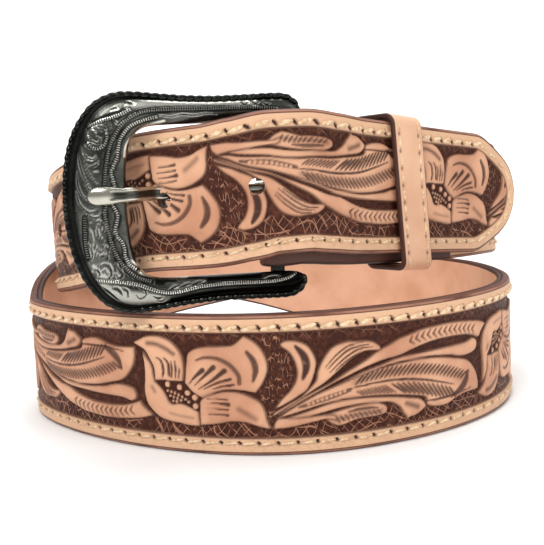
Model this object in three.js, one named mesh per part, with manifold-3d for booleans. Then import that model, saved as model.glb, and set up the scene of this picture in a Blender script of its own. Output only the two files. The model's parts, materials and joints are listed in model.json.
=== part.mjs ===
// A fastened tooled leather belt, coiled twice round and standing on its edge.
// Millimetres, +Z up, the buckle facing -Y.
import * as THREE from 'three';
import Module from 'manifold-3d';

const wasm = await Module();
wasm.setup();

// Strap.
const STRAP_WIDTH = 38.1;
const STRAP_THICKNESS = 4.2;
const EDGE_ROUND = 1.3;
const FOLD_THICKNESS = 2.6;
const FOLD_LENGTH = 64;
const TIP_TAPER = 22;
const HOLE_DIAMETER = 4.3;
const HOLE_PITCH = 25.4;
const HOLE_COUNT = 7;
const FIRST_HOLE_FROM_TIP = 107;
const SLOT_CORNER = 0.4;
const SLOT_REACH = 10.9;

// Coil, measured between strap centres.
const COIL_WIDTH = 160;
const COIL_DEPTH = 150;
const LAYER_GAP = 0.4;
const UNDER_DROP_AT_BAR = 3.8;
const UNDER_DROP_PAST_FOLD = 2.6;
const REST_GAP = 0.9;

// Buckle.
const FRAME_LENGTH = 64;
const TOE_ARM = 8.9;
const WINDOW_CLEARANCE = 1.35;
const FRAME_BACK = 1.6;
const FRAME_FRONT = 2.6;
const TOE_STANDOFF = 6.7;
const BAR_RADIUS = 2;
const BAR_CLEARANCE = 0.3;
const BAR_FROM_HEEL_END = 7.2;
const BAR_SETBACK = 2.6;
const LUG_RADIUS = 2.9;
const LUG_ON_ARM = 0.42;

// Prong.
const PRONG_REACH = 32.4;
const PRONG_HEIGHT = 3.3;
const PRONG_DEPTH = 2.7;
const PRONG_TIP_HEIGHT = 4.7;
const PRONG_OVERHANG = 9.5;
const PRONG_CLEARANCE = 0.4;
const PRONG_ABOVE_MIDDLE = 2.4;
const PRONG_EDGE_ROUND = 0.8;

// Keeper.
const KEEPER_WIDTH = 12.7;
const KEEPER_WALL = 1.8;
const KEEPER_GAP = 0.45;
const KEEPER_FROM_BAR = 44.4;
const KEEPER_LEAN = 9.5;
const KEEPER_CORNER = 1.6;
const KEEPER_EDGE_ROUND = 0.5;

// Snaps that close the fold.
const SNAP_CAP_DIAMETER = 9.5;
const SNAP_CAP_HEIGHT = 1.4;
const SNAP_SHANK_DIAMETER = 4;
const SNAP_SHANK_IN_STRAP = 2.3;
const SNAP_GAP = 0.3;
const FIRST_SNAP_FROM_BAR = 25.5;
const SNAP_PAST_KEEPER = 12.1;

// Height of the upper turn's lower edge at the buckle: the buckle rests on the lower turn.
const LIFT = STRAP_WIDTH + REST_GAP + TOE_ARM + WINDOW_CLEARANCE;

// Strand that ends in the tip: x and y as shares of half the coil, height as a share of the lift.
const TIP_STRAND = [
  [-0.891, -0.107, 0.785],
  [-0.806, -0.36, 0.84],
  [-0.686, -0.54, 0.9],
  [-0.55, -0.687, 0.966],
  [-0.4125, -0.784, 1.0],
  [-0.216, -0.879, 1.02],
  [-0.1, -0.901, 1.049],
  [0.015, -0.896, 1.076],
  [0.1275, -0.855, 1.079],
  [0.2325, -0.785, 1.059],
  [0.33, -0.701, 1.033],
  [0.475, -0.571, 1.008],
  [0.62, -0.44, 0.982],
  [0.816, -0.268, 0.949],
  [1.0325, -0.072, 0.907],
];

// The two turns between the fold and the tip strand, in the same shares.
const TURNS = [
  [0.904, -0.073, 0.902],
  [0.983, 0.087, 0.889],
  [1.01, 0.28, 0.877],
  [0.994, 0.507, 0.85],
  [0.906, 0.733, 0.806],
  [0.744, 0.927, 0.719],
  [0.475, 1.047, 0.617],
  [0.15, 1.093, 0.516],
  [-0.175, 1.08, 0.435],
  [-0.475, 1.0, 0.364],
  [-0.725, 0.833, 0.304],
  [-0.906, 0.587, 0.243],
  [-0.996, 0.293, 0.182],
  [-1.016, 0.053, 0.111],
  [-1.0, -0.133, 0.036],
  [-0.956, -0.293, 0],
  [-0.869, -0.44, 0],
  [-0.756, -0.573, 0],
  [-0.6375, -0.683, 0],
  [-0.481, -0.797, 0],
  [-0.315, -0.885, 0],
  [-0.1375, -0.947, 0],
  [0.045, -0.969, 0],
  [0.23, -0.947, 0],
  [0.404, -0.885, 0],
  [0.566, -0.795, 0],
  [0.716, -0.669, 0],
  [0.831, -0.527, 0],
  [0.9125, -0.367, 0],
  [0.969, -0.167, 0],
  [0.9875, 0.027, 0],
  [0.9825, 0.24, 0],
  [0.9475, 0.453, 0],
  [0.8525, 0.687, 0],
  [0.7125, 0.84, 0.024],
  [0.5375, 0.94, 0.101],
  [0.3, 0.997, 0.213],
  [0, 1.011, 0.364],
  [-0.3, 0.967, 0.49],
  [-0.55, 0.847, 0.592],
  [-0.744, 0.66, 0.668],
  [-0.855, 0.413, 0.721],
  [-0.898, 0.147, 0.755],
];

// Outline of the tip: distance from the end as a share of the taper, half width as a share.
const TIP_OUTLINE = [
  [1, 1],
  [0.84, 0.955],
  [0.62, 0.84],
  [0.42, 0.72],
  [0.27, 0.61],
  [0.16, 0.5],
  [0.08, 0.37],
  [0.03, 0.24],
  [0, 0.12],
];

// Half of the buckle frame from the heel end to the toe. Columns: outer edge along and across,
// inner edge along and across, thickness. Along is a share of half the frame length, the outer
// across adds shares of the toe arm to the window, the inner across is a share of half the window.
const FRAME_ROWS = [
  [1.006, 0.25, 0.981, 1.05, 0.6],
  [0.988, 0.52, 0.938, 1.02, 0.66],
  [0.931, 0.72, 0.875, 1.005, 0.72],
  [0.831, 0.81, 0.787, 1, 0.76],
  [0.562, 0.8, 0.562, 1, 0.8],
  [0.281, 0.79, 0.281, 1, 0.86],
  [0.031, 0.84, 0.062, 1, 0.92],
  [-0.188, 0.92, -0.125, 1, 0.96],
  [-0.362, 0.985, -0.25, 0.99, 1],
  [-0.5, 0.99, -0.325, 0.956, 1],
  [-0.613, 0.88, -0.375, 0.897, 1],
  [-0.713, 0.67, -0.409, 0.824, 1],
  [-0.797, 0.34, -0.434, 0.725, 1],
  [-0.869, -0.06, -0.453, 0.598, 1],
  [-0.925, -0.56, -0.466, 0.461, 1],
  [-0.963, -1.12, -0.472, 0.309, 1],
  [-0.984, -1.72, -0.478, 0.152, 1],
];

// The middle of the toe, outer and inner edge, as shares of half the frame length.
const TOE_OUTER = -0.991;
const TOE_INNER = -0.478;

// Cross-section of the frame: share of the way from the outer to the inner edge, height as a
// share of the back depth (negative) or of the front height (positive).
const FRAME_SECTION = [
  [0.04, -1],
  [0, -0.55],
  [0, 0.3],
  [0.05, 0.52],
  [0.13, 0.52],
  [0.18, 0.34],
  [0.3, 0.78],
  [0.5, 1],
  [0.7, 0.92],
  [0.88, 0.62],
  [0.99, 0.28],
  [1, -0.4],
  [0.95, -1],
];

const SAMPLES_PER_SPAN = 48;
const STRAP_STEP = 8;

const UP = new THREE.Vector3(0, 0, 1);

// Monotone cubic through (xs, ys): never leaves the range of its two neighbours.
function monotoneCurve(xs, ys) {
  const count = xs.length;
  const slopes = [];
  for (let i = 0; i < count - 1; i += 1) {
    slopes.push((ys[i + 1] - ys[i]) / (xs[i + 1] - xs[i]));
  }
  const tangents = [slopes[0]];
  for (let i = 1; i < count - 1; i += 1) {
    const product = slopes[i - 1] * slopes[i];
    tangents.push(product > 0 ? (2 * product) / (slopes[i - 1] + slopes[i]) : 0);
  }
  tangents.push(slopes[count - 2]);
  return (x) => {
    let i = 0;
    while (i < count - 2 && x > xs[i + 1]) {
      i += 1;
    }
    const width = xs[i + 1] - xs[i];
    const t = THREE.MathUtils.clamp((x - xs[i]) / width, 0, 1);
    const a = (1 + 2 * t) * (1 - t) * (1 - t);
    const b = t * (1 - t) * (1 - t) * width;
    const c = t * t * (3 - 2 * t);
    const d = t * t * (t - 1) * width;
    return a * ys[i] + b * tangents[i] + c * ys[i + 1] + d * tangents[i + 1];
  };
}

// A path in plan with a height along it; at(s) gives the frame of the strap at a plan distance.
class Strand {
  constructor(knots) {
    const points = knots.map((knot) => new THREE.Vector3(knot.x, knot.y, 0));
    this.curve = new THREE.CatmullRomCurve3(points, false, 'centripetal');
    const spans = knots.length - 1;
    this.curve.arcLengthDivisions = spans * SAMPLES_PER_SPAN;
    const lengths = this.curve.getLengths();
    this.knotLengths = knots.map((_, i) => lengths[i * SAMPLES_PER_SPAN]);
    this.length = lengths[lengths.length - 1];
    this.edgeHeight = monotoneCurve(this.knotLengths, knots.map((knot) => knot.edge));
    this.thickness = monotoneCurve(this.knotLengths, knots.map((knot) => knot.thickness));
  }

  at(s) {
    const share = THREE.MathUtils.clamp(s / this.length, 0, 1);
    const plan = this.curve.getPointAt(share);
    const heading = this.curve.getTangentAt(share);
    const before = Math.max(s - 0.5, 0);
    const after = Math.min(s + 0.5, this.length);
    const slope = (this.edgeHeight(after) - this.edgeHeight(before)) / (after - before);
    const tangent = new THREE.Vector3(heading.x, heading.y, slope).normalize();
    const normal = new THREE.Vector3(heading.y, -heading.x, 0).normalize();
    const across = new THREE.Vector3().crossVectors(normal, tangent).normalize();
    const centre = plan.clone();
    centre.z = this.edgeHeight(s) + (STRAP_WIDTH / 2) * across.z;
    return { centre, tangent, normal, across, thickness: this.thickness(s) };
  }
}

// A point of a strand's local frame: along the strap, out of its face, across its width.
function place(frame, along, out, across) {
  return frame.centre
    .clone()
    .addScaledVector(frame.tangent, along)
    .addScaledVector(frame.normal, out)
    .addScaledVector(frame.across, across);
}

// Closed body from rings of equal count; capped at both ends or joined into a loop.
function loft(rings, looped = false) {
  const count = rings[0].length;
  const points = rings.flat();
  const triangles = [];
  const last = looped ? rings.length : rings.length - 1;
  for (let i = 0; i < last; i += 1) {
    const here = i * count;
    const next = ((i + 1) % rings.length) * count;
    for (let j = 0; j < count; j += 1) {
      const k = (j + 1) % count;
      triangles.push(here + j, next + j, next + k);
      triangles.push(here + j, next + k, here + k);
    }
  }
  if (!looped) {
    const end = (rings.length - 1) * count;
    for (let j = 1; j < count - 1; j += 1) {
      triangles.push(0, j, j + 1);
      triangles.push(end, end + j + 1, end + j);
    }
  }
  let volume = 0;
  for (let i = 0; i < triangles.length; i += 3) {
    const [a, b, c] = [points[triangles[i]], points[triangles[i + 1]], points[triangles[i + 2]]];
    volume += a.dot(new THREE.Vector3().crossVectors(b, c));
  }
  if (volume < 0) {
    triangles.reverse();
  }
  return new wasm.Manifold(
    new wasm.Mesh({
      numProp: 3,
      vertProperties: Float32Array.from(points.flatMap((point) => [point.x, point.y, point.z])),
      triVerts: Uint32Array.from(triangles),
    }),
  );
}

// Round bar between two points.
function rod(from, to, radius, sides) {
  const axis = to.clone().sub(from).normalize();
  const helper = Math.abs(axis.z) > 0.9 ? new THREE.Vector3(1, 0, 0) : UP;
  const side = new THREE.Vector3().crossVectors(axis, helper).normalize();
  const other = new THREE.Vector3().crossVectors(axis, side);
  const ring = (centre) => Array.from({ length: sides }, (_, i) => {
    const angle = (2 * Math.PI * i) / sides;
    return centre
      .clone()
      .addScaledVector(side, radius * Math.cos(angle))
      .addScaledVector(other, radius * Math.sin(angle));
  });
  return loft([ring(from), ring(to)]);
}

// Rectangle with two-step rounded corners, as [out, across] pairs.
function roundedSection(halfOut, halfAcross, round) {
  const radius = Math.min(round, 0.45 * halfOut * 2, 0.45 * halfAcross * 2);
  const section = [];
  for (const [signOut, signAcross, start] of [[1, -1, -90], [1, 1, 0], [-1, 1, 90], [-1, -1, 180]]) {
    for (const step of [0, 45, 90]) {
      const angle = THREE.MathUtils.degToRad(start + step);
      section.push([
        signOut * (halfOut - radius) + radius * Math.cos(angle),
        signAcross * (halfAcross - radius) + radius * Math.sin(angle),
      ]);
    }
  }
  return section;
}

function ringAt(frame, section) {
  return section.map(([out, across]) => place(frame, 0, out, across));
}

function meshOf(solid, name, color, roughness, metalness) {
  const { vertProperties, triVerts } = solid.getMesh();
  const geometry = new THREE.BufferGeometry();
  geometry.setAttribute('position', new THREE.BufferAttribute(new Float32Array(vertProperties), 3));
  geometry.setIndex(new THREE.BufferAttribute(new Uint32Array(triVerts), 1));
  geometry.computeVertexNormals();
  const mesh = new THREE.Mesh(geometry, new THREE.MeshStandardMaterial({ color, roughness, metalness }));
  mesh.name = name;
  return mesh;
}

// Knots from a table of shares.
function knotsOf(table) {
  return table.map(([x, y, edge]) => ({
    x: (x * COIL_WIDTH) / 2,
    y: (y * COIL_DEPTH) / 2,
    edge: edge * LIFT,
    thickness: STRAP_THICKNESS,
  }));
}

// The tip strand on its own places everything at the buckle.
const tipKnots = knotsOf(TIP_STRAND);
const tipStrand = new Strand(tipKnots);
const barFromTip = FIRST_HOLE_FROM_TIP + HOLE_PITCH - PRONG_REACH;
const secondSnapFromBar = KEEPER_FROM_BAR + SNAP_PAST_KEEPER;

// Frame on the tip strand at a distance from the heel bar, towards the tip.
function besideBar(distance) {
  return tipStrand.at(tipStrand.length - barFromTip + distance);
}

// How much lower than the tip strand the layers under it lie.
function dropAt(distance) {
  return THREE.MathUtils.lerp(UNDER_DROP_AT_BAR, UNDER_DROP_PAST_FOLD, distance / FOLD_LENGTH);
}

// Knot of a layer that runs under the tip strand, its centre set in by the given amount.
function underKnot(distance, inset, thickness) {
  const frame = besideBar(distance);
  return {
    x: frame.centre.x - frame.normal.x * inset,
    y: frame.centre.y - frame.normal.y * inset,
    edge: frame.centre.z - (STRAP_WIDTH / 2) * frame.across.z - dropAt(distance),
    thickness,
  };
}

const underInset = STRAP_THICKNESS + LAYER_GAP;
const foldRadius = FOLD_THICKNESS / 2 + BAR_CLEARANCE + BAR_RADIUS;
const barInset = underInset + foldRadius;
const flapInset = underInset + STRAP_THICKNESS / 2 + LAYER_GAP + FOLD_THICKNESS / 2;
const barFrame = besideBar(0);
const barKnot = underKnot(0, barInset, FOLD_THICKNESS);
const barCentre = new THREE.Vector3(barKnot.x, barKnot.y, barKnot.edge + STRAP_WIDTH / 2);
const prongUp = barCentre.z + PRONG_ABOVE_MIDDLE;

// Flap behind the fold, from its end to the bar: share of its length, share of the extra inset.
const FLAP_KNOTS = [
  [1, 0],
  [0.75, 0],
  [0.5, 0],
  [0.3, 0],
  [0.2, 0.14],
  [0.1, 0.7],
  [0, 1],
];
const flapKnots = FLAP_KNOTS.map(([share, extra]) => underKnot(
  share * FOLD_LENGTH,
  flapInset + extra * (barInset + foldRadius - flapInset),
  FOLD_THICKNESS,
));
const wrapKnots = [30, 60, 90, 120, 150].map((degrees) => {
  const angle = THREE.MathUtils.degToRad(degrees);
  const heading = new THREE.Vector3(-barFrame.normal.y, barFrame.normal.x, 0);
  return {
    x: barCentre.x - foldRadius * (Math.cos(angle) * barFrame.normal.x + Math.sin(angle) * heading.x),
    y: barCentre.y - foldRadius * (Math.cos(angle) * barFrame.normal.y + Math.sin(angle) * heading.y),
    edge: barKnot.edge,
    thickness: FOLD_THICKNESS,
  };
});

// Strap under the tip strand: distance from the bar as a share of the fold, share of full body.
const UNDER_KNOTS = [
  [0, 0],
  [0.1, 0.4],
  [0.2, 0.85],
  [0.32, 1],
  [0.48, 1],
  [0.64, 1],
  [0.8, 1],
  [0.94, 1],
  [1.07, 1],
];
const underKnots = UNDER_KNOTS.map(([share, full]) => underKnot(
  share * FOLD_LENGTH,
  underInset,
  FOLD_THICKNESS + full * (STRAP_THICKNESS - FOLD_THICKNESS),
));

const strapKnots = [...flapKnots, ...wrapKnots, ...underKnots, ...knotsOf(TURNS), ...tipKnots];
const strap = new Strand(strapKnots);
const firstUnder = flapKnots.length + wrapKnots.length;

// Stations of the strap: every knot span is divided to the step, the taper follows its outline.
function strapStations() {
  const stations = [];
  const taperStart = strap.length - TIP_TAPER;
  for (let i = 0; i < strap.knotLengths.length - 1; i += 1) {
    const from = strap.knotLengths[i];
    const to = strap.knotLengths[i + 1];
    const parts = Math.ceil((to - from) / STRAP_STEP);
    for (let k = 0; k < parts; k += 1) {
      const s = from + ((to - from) * k) / parts;
      if (s < taperStart - 1) {
        stations.push([s, 1]);
      }
    }
  }
  for (const [distance, width] of TIP_OUTLINE) {
    stations.push([strap.length - distance * TIP_TAPER, width]);
  }
  return stations;
}

function buildStrap(prongSpace) {
  const rings = strapStations().map(([s, width]) => {
    const frame = strap.at(s);
    return ringAt(frame, roundedSection(frame.thickness / 2, (width * STRAP_WIDTH) / 2, EDGE_ROUND));
  });
  let solid = loft(rings);
  for (let i = 0; i < HOLE_COUNT; i += 1) {
    const frame = strap.at(strap.length - FIRST_HOLE_FROM_TIP - i * HOLE_PITCH);
    const reach = STRAP_THICKNESS / 2 + LAYER_GAP / 2;
    const punch = rod(place(frame, 0, -reach, 0), place(frame, 0, reach, 0), HOLE_DIAMETER / 2, 14);
    solid = solid.subtract(punch);
  }
  const slotFrom = strap.knotLengths[flapKnots.length - 1] - SLOT_REACH;
  const slotTo = strap.knotLengths[firstUnder] + SLOT_REACH;
  const slotSteps = 26;
  const slotHalfOut = STRAP_THICKNESS / 2 + LAYER_GAP / 2;
  const slotHalfAcross = PRONG_HEIGHT / 2 + PRONG_CLEARANCE;
  const slotRings = [];
  for (let i = 0; i <= slotSteps; i += 1) {
    const frame = strap.at(slotFrom + ((slotTo - slotFrom) * i) / slotSteps);
    const flat = { ...frame, across: UP, centre: frame.centre.clone().setZ(prongUp) };
    slotRings.push(ringAt(flat, roundedSection(slotHalfOut, slotHalfAcross, SLOT_CORNER)));
  }
  solid = solid.subtract(loft(slotRings));
  for (const distance of [FIRST_SNAP_FROM_BAR, secondSnapFromBar]) {
    solid = solid.subtract(snapRod(distance, SNAP_SHANK_DIAMETER / 2 + SNAP_GAP, SNAP_GAP));
  }
  return solid.subtract(prongSpace);
}

// Frame of the flap's centre at a distance from the bar.
function flapFrame(distance) {
  const frame = besideBar(distance);
  const centre = place(frame, 0, -flapInset, 0);
  centre.z -= dropAt(distance);
  return { ...frame, centre };
}

// Shank of a snap, from outside the flap into the strap; extra lengthens its inner end.
function snapRod(distance, radius, extra) {
  const frame = flapFrame(distance);
  const behind = FOLD_THICKNESS / 2 + SNAP_GAP + SNAP_CAP_HEIGHT / 2;
  const ahead = FOLD_THICKNESS / 2 + LAYER_GAP + SNAP_SHANK_IN_STRAP + extra;
  return rod(place(frame, 0, -behind, 0), place(frame, 0, ahead, 0), radius, 14);
}

function buildSnap(distance) {
  const frame = flapFrame(distance);
  const face = FOLD_THICKNESS / 2 + SNAP_GAP;
  const rings = [[0, 1], [0.55, 1], [1, 0.72]].map(([share, width]) => {
    const out = -face - share * SNAP_CAP_HEIGHT;
    return Array.from({ length: 18 }, (_, i) => {
      const angle = (2 * Math.PI * i) / 18;
      const radius = (width * SNAP_CAP_DIAMETER) / 2;
      return place(frame, radius * Math.cos(angle), out, radius * Math.sin(angle));
    });
  });
  return loft(rings).add(snapRod(distance, SNAP_SHANK_DIAMETER / 2, 0));
}

// The frame's plane passes the bar at its setback and, at the toe's inner edge, stands off the
// outer face of the strap that runs behind the toe.
const halfFrame = FRAME_LENGTH / 2;
const toeFromBar = (1 - TOE_INNER) * halfFrame - BAR_FROM_HEEL_END;
const toeSeat = place(besideBar(-toeFromBar), 0, STRAP_THICKNESS / 2 + TOE_STANDOFF, 0);
const seatSpan = Math.hypot(barCentre.x - toeSeat.x, barCentre.y - toeSeat.y);
const seatHeading = Math.atan2(barCentre.y - toeSeat.y, barCentre.x - toeSeat.x);
const turn = seatHeading - Math.asin(BAR_SETBACK / seatSpan);

// Buckle frame axes: along points from toe to heel, out of the face, up.
const frameAlong = new THREE.Vector3(Math.cos(turn), Math.sin(turn), 0);
const frameOut = new THREE.Vector3(Math.sin(turn), -Math.cos(turn), 0);
const halfWindow = STRAP_WIDTH / 2 + WINDOW_CLEARANCE;
const frameCentre = barCentre
  .clone()
  .addScaledVector(frameAlong, BAR_FROM_HEEL_END - halfFrame)
  .addScaledVector(frameOut, BAR_SETBACK);

function onFrame(along, out, up) {
  return frameCentre
    .clone()
    .addScaledVector(frameAlong, along)
    .addScaledVector(frameOut, out)
    .addScaledVector(UP, up);
}

function frameRing([outerAlong, outerArm, innerAlong, innerShare, body], side) {
  return FRAME_SECTION.map(([share, height]) => {
    const along = THREE.MathUtils.lerp(outerAlong, innerAlong, share) * halfFrame;
    const outerUp = halfWindow + outerArm * TOE_ARM;
    const up = THREE.MathUtils.lerp(outerUp, innerShare * halfWindow, share);
    const out = height < 0 ? height * FRAME_BACK * body : height * FRAME_FRONT * body;
    return onFrame(along, out, side * up);
  });
}

function buildFrame() {
  const toe = [TOE_OUTER, -halfWindow / TOE_ARM, TOE_INNER, 0, 1];
  const rings = [
    ...FRAME_ROWS.map((row) => frameRing(row, -1)),
    frameRing(toe, 1),
    ...[...FRAME_ROWS].reverse().map((row) => frameRing(row, 1)),
  ];
  let solid = loft(rings);
  const along = halfFrame - BAR_FROM_HEEL_END;
  const lugUp = halfWindow + LUG_ON_ARM * TOE_ARM;
  const barEnd = (side) => onFrame(along, -BAR_SETBACK, side * lugUp);
  solid = solid.add(rod(barEnd(-1), barEnd(1), BAR_RADIUS, 14));
  for (const side of [-1, 1]) {
    const up = side * lugUp;
    const back = onFrame(along, -BAR_SETBACK - BAR_RADIUS, up);
    solid = solid.add(rod(back, onFrame(along, 0, up), LUG_RADIUS, 14));
  }
  return solid;
}

// Path of the prong near its hole: along the strap and out of its face, in shares of its depth.
const PRONG_AT_HOLE = [
  [2.96, -0.78],
  [0.96, -0.96],
  [0, 0],
  [-0.89, 1.11],
];

// Path of the prong over the toe: past its inner edge as a share of the overhang, and above it as
// a share of the depth.
const PRONG_ON_TOE = [
  [-0.16, -0.19],
  [0.45, 0.11],
  [1, -0.04],
];

// Prong: shaft behind the tip strand, through its hole, over the toe of the frame.
const prongHole = strap.at(strap.length - FIRST_HOLE_FROM_TIP - HOLE_PITCH);
const ringRadius = BAR_RADIUS + PRONG_CLEARANCE + PRONG_DEPTH / 2;

function prongPath() {
  const hole = new THREE.Vector3(prongHole.centre.x, prongHole.centre.y, prongUp);
  const toeTop = FRAME_FRONT + PRONG_CLEARANCE + PRONG_DEPTH / 2;
  const toeInner = TOE_INNER * halfFrame;
  const dip = ringRadius - 0.11 * PRONG_DEPTH;
  const points = [
    barCentre.clone().addScaledVector(frameOut, ringRadius),
    barCentre.clone().addScaledVector(frameOut, dip).addScaledVector(frameAlong, -0.3 * PRONG_REACH),
    ...PRONG_AT_HOLE.map(([along, out]) => hole
      .clone()
      .addScaledVector(prongHole.tangent, along * PRONG_DEPTH)
      .addScaledVector(prongHole.normal, out * PRONG_DEPTH)),
    ...PRONG_ON_TOE.map(([past, above]) => onFrame(
      toeInner - past * PRONG_OVERHANG,
      toeTop + above * PRONG_DEPTH,
      0,
    )),
  ];
  points.forEach((point) => point.setZ(prongUp));
  return new THREE.CatmullRomCurve3(points, false, 'centripetal');
}

// Shaft of the prong, with extra room all round when it is used to cut its way.
function prongShaft(extra) {
  const curve = prongPath();
  const steps = 34;
  const rings = [];
  for (let i = 0; i <= steps; i += 1) {
    const share = i / steps;
    const centre = curve.getPointAt(share);
    const tangent = curve.getTangentAt(share);
    const normal = new THREE.Vector3(tangent.y, -tangent.x, 0).normalize();
    const swell = THREE.MathUtils.smoothstep(share, 0.78, 0.86);
    const tail = 1 - 0.45 * THREE.MathUtils.smoothstep(share, 0.95, 1);
    const height = THREE.MathUtils.lerp(PRONG_HEIGHT, PRONG_TIP_HEIGHT, swell) * tail;
    const depth = PRONG_DEPTH * (1 - 0.2 * THREE.MathUtils.smoothstep(share, 0.9, 1));
    rings.push(Array.from({ length: 12 }, (_, k) => {
      const angle = (2 * Math.PI * (k + 0.5)) / 12;
      return centre
        .clone()
        .addScaledVector(normal, (depth / 2 + extra) * Math.cos(angle))
        .addScaledVector(UP, (height / 2 + extra) * Math.sin(angle));
    }));
  }
  return loft(rings);
}

function buildProng() {
  const section = roundedSection(PRONG_DEPTH / 2, PRONG_HEIGHT / 2, PRONG_EDGE_ROUND);
  const rings = Array.from({ length: 20 }, (_, i) => {
    const angle = (2 * Math.PI * i) / 20;
    const normal = new THREE.Vector3(Math.cos(angle), Math.sin(angle), 0);
    const centre = barCentre.clone().setZ(prongUp).addScaledVector(normal, ringRadius);
    return ringAt({ centre, tangent: normal, normal, across: UP }, section);
  });
  return loft(rings, true).add(prongShaft(0));
}

// Keeper: one closed band round the tip strand, the strap under it and the flap. It leans, its
// lower end towards the tip.
function buildKeeper() {
  const frame = besideBar(KEEPER_FROM_BAR);
  const outFace = STRAP_THICKNESS / 2 + KEEPER_GAP;
  const inFace = flapInset + FOLD_THICKNESS / 2 + KEEPER_GAP;
  const top = STRAP_WIDTH / 2 + KEEPER_GAP;
  const bottom = STRAP_WIDTH / 2 + dropAt(KEEPER_FROM_BAR) + KEEPER_GAP;
  const halfOut = (outFace + inFace + KEEPER_WALL) / 2;
  const halfUp = (top + bottom + KEEPER_WALL) / 2;
  const centre = place(frame, 0, (outFace - inFace) / 2, (top - bottom) / 2);
  const corner = KEEPER_WALL / 2 + KEEPER_CORNER;
  const lean = Math.tan(THREE.MathUtils.degToRad(KEEPER_LEAN));
  const leaning = frame.across.clone().addScaledVector(frame.tangent, -lean);
  const section = roundedSection(KEEPER_WALL / 2, KEEPER_WIDTH / 2, KEEPER_EDGE_ROUND);
  const rings = [];
  for (const [signOut, signUp, start] of [[1, -1, -90], [1, 1, 0], [-1, 1, 90], [-1, -1, 180]]) {
    for (const step of [0, 22.5, 45, 67.5, 90]) {
      const angle = THREE.MathUtils.degToRad(start + step);
      const radial = new THREE.Vector3()
        .addScaledVector(frame.normal, Math.cos(angle))
        .addScaledVector(leaning, Math.sin(angle));
      const point = centre
        .clone()
        .addScaledVector(frame.normal, signOut * (halfOut - corner))
        .addScaledVector(leaning, signUp * (halfUp - corner))
        .addScaledVector(radial, corner);
      rings.push(section.map(([out, across]) => point
        .clone()
        .addScaledVector(radial, out)
        .addScaledVector(frame.tangent, across)));
    }
  }
  return loft(rings, true);
}

const pieces = [
  meshOf(buildStrap(prongShaft(PRONG_CLEARANCE)), 'strap', '#b98258', 0.6, 0),
  meshOf(buildKeeper(), 'keeper', '#d9a883', 0.6, 0),
  meshOf(buildFrame(), 'buckle_frame', '#8d8f8c', 0.35, 0.9),
  meshOf(buildProng(), 'prong', '#b9bab6', 0.3, 0.9),
  meshOf(buildSnap(FIRST_SNAP_FROM_BAR), 'snap_near', '#9c9d99', 0.35, 0.9),
  meshOf(buildSnap(secondSnapFromBar), 'snap_far', '#9c9d99', 0.35, 0.9),
];

// The origin goes under the middle of the whole belt.
const belt = new THREE.Group();
belt.name = 'western_belt';
belt.add(...pieces);
const middle = new THREE.Box3().setFromObject(belt).getCenter(new THREE.Vector3());
pieces.forEach((piece) => piece.geometry.translate(-middle.x, -middle.y, 0));

export default belt;
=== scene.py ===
"""Looks of a fastened western belt: tooled strap, keeper, buckle, prong and snaps.

All sizes in the tables and classes are millimetres; meshes are written in metres.
"""

import json
import logging
import math
from dataclasses import dataclass, field, replace
from enum import Enum
from typing import Callable, Iterator, Sequence

import bmesh
import bpy
import numpy as np
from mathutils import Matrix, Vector

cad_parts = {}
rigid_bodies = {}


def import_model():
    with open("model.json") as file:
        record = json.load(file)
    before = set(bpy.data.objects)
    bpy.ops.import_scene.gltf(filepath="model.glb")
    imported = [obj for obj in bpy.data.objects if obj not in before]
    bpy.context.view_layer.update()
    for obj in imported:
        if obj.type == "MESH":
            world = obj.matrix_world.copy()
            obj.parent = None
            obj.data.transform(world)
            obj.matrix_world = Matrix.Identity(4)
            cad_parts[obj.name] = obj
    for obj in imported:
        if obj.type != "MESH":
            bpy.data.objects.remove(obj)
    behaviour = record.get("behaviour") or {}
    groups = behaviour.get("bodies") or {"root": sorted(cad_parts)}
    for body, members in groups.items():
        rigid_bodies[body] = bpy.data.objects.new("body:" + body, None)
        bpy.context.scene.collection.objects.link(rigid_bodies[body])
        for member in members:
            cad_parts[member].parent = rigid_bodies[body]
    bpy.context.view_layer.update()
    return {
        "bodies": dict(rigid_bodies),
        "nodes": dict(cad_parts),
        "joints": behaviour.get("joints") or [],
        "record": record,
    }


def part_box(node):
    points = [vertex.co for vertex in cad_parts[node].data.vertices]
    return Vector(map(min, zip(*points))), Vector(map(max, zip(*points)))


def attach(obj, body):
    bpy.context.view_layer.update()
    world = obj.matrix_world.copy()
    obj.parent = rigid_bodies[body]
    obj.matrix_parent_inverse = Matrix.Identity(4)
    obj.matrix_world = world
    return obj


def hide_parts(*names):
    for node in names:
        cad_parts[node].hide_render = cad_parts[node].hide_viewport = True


LOG = logging.getLogger("belt")
MM = 0.001
ROOT = "root"

Point = tuple[float, float]
Colour = tuple[float, float, float]
Array = np.ndarray
Object = bpy.types.Object
Material = bpy.types.Material
Socket = bpy.types.NodeSocket
Tree = bpy.types.NodeTree
Inputs = dict[str | int, object]

# Corners of a rectangle in turn: the side of each axis that it lies on, and where its arc starts.
CORNERS = ((1, -1, -90), (1, 1, 0), (-1, 1, 90), (-1, -1, 180))

# Strand that ends in the tip: x and y as shares of half the coil, height as a share of the lift.
TIP_STRAND = (
    (-0.891, -0.107, 0.785), (-0.806, -0.36, 0.84), (-0.686, -0.54, 0.9), (-0.55, -0.687, 0.966),
    (-0.4125, -0.784, 1.0), (-0.216, -0.879, 1.02), (-0.1, -0.901, 1.049), (0.015, -0.896, 1.076),
    (0.1275, -0.855, 1.079), (0.2325, -0.785, 1.059), (0.33, -0.701, 1.033), (0.475, -0.571, 1.008),
    (0.62, -0.44, 0.982), (0.816, -0.268, 0.949), (1.0325, -0.072, 0.907),
)

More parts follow.
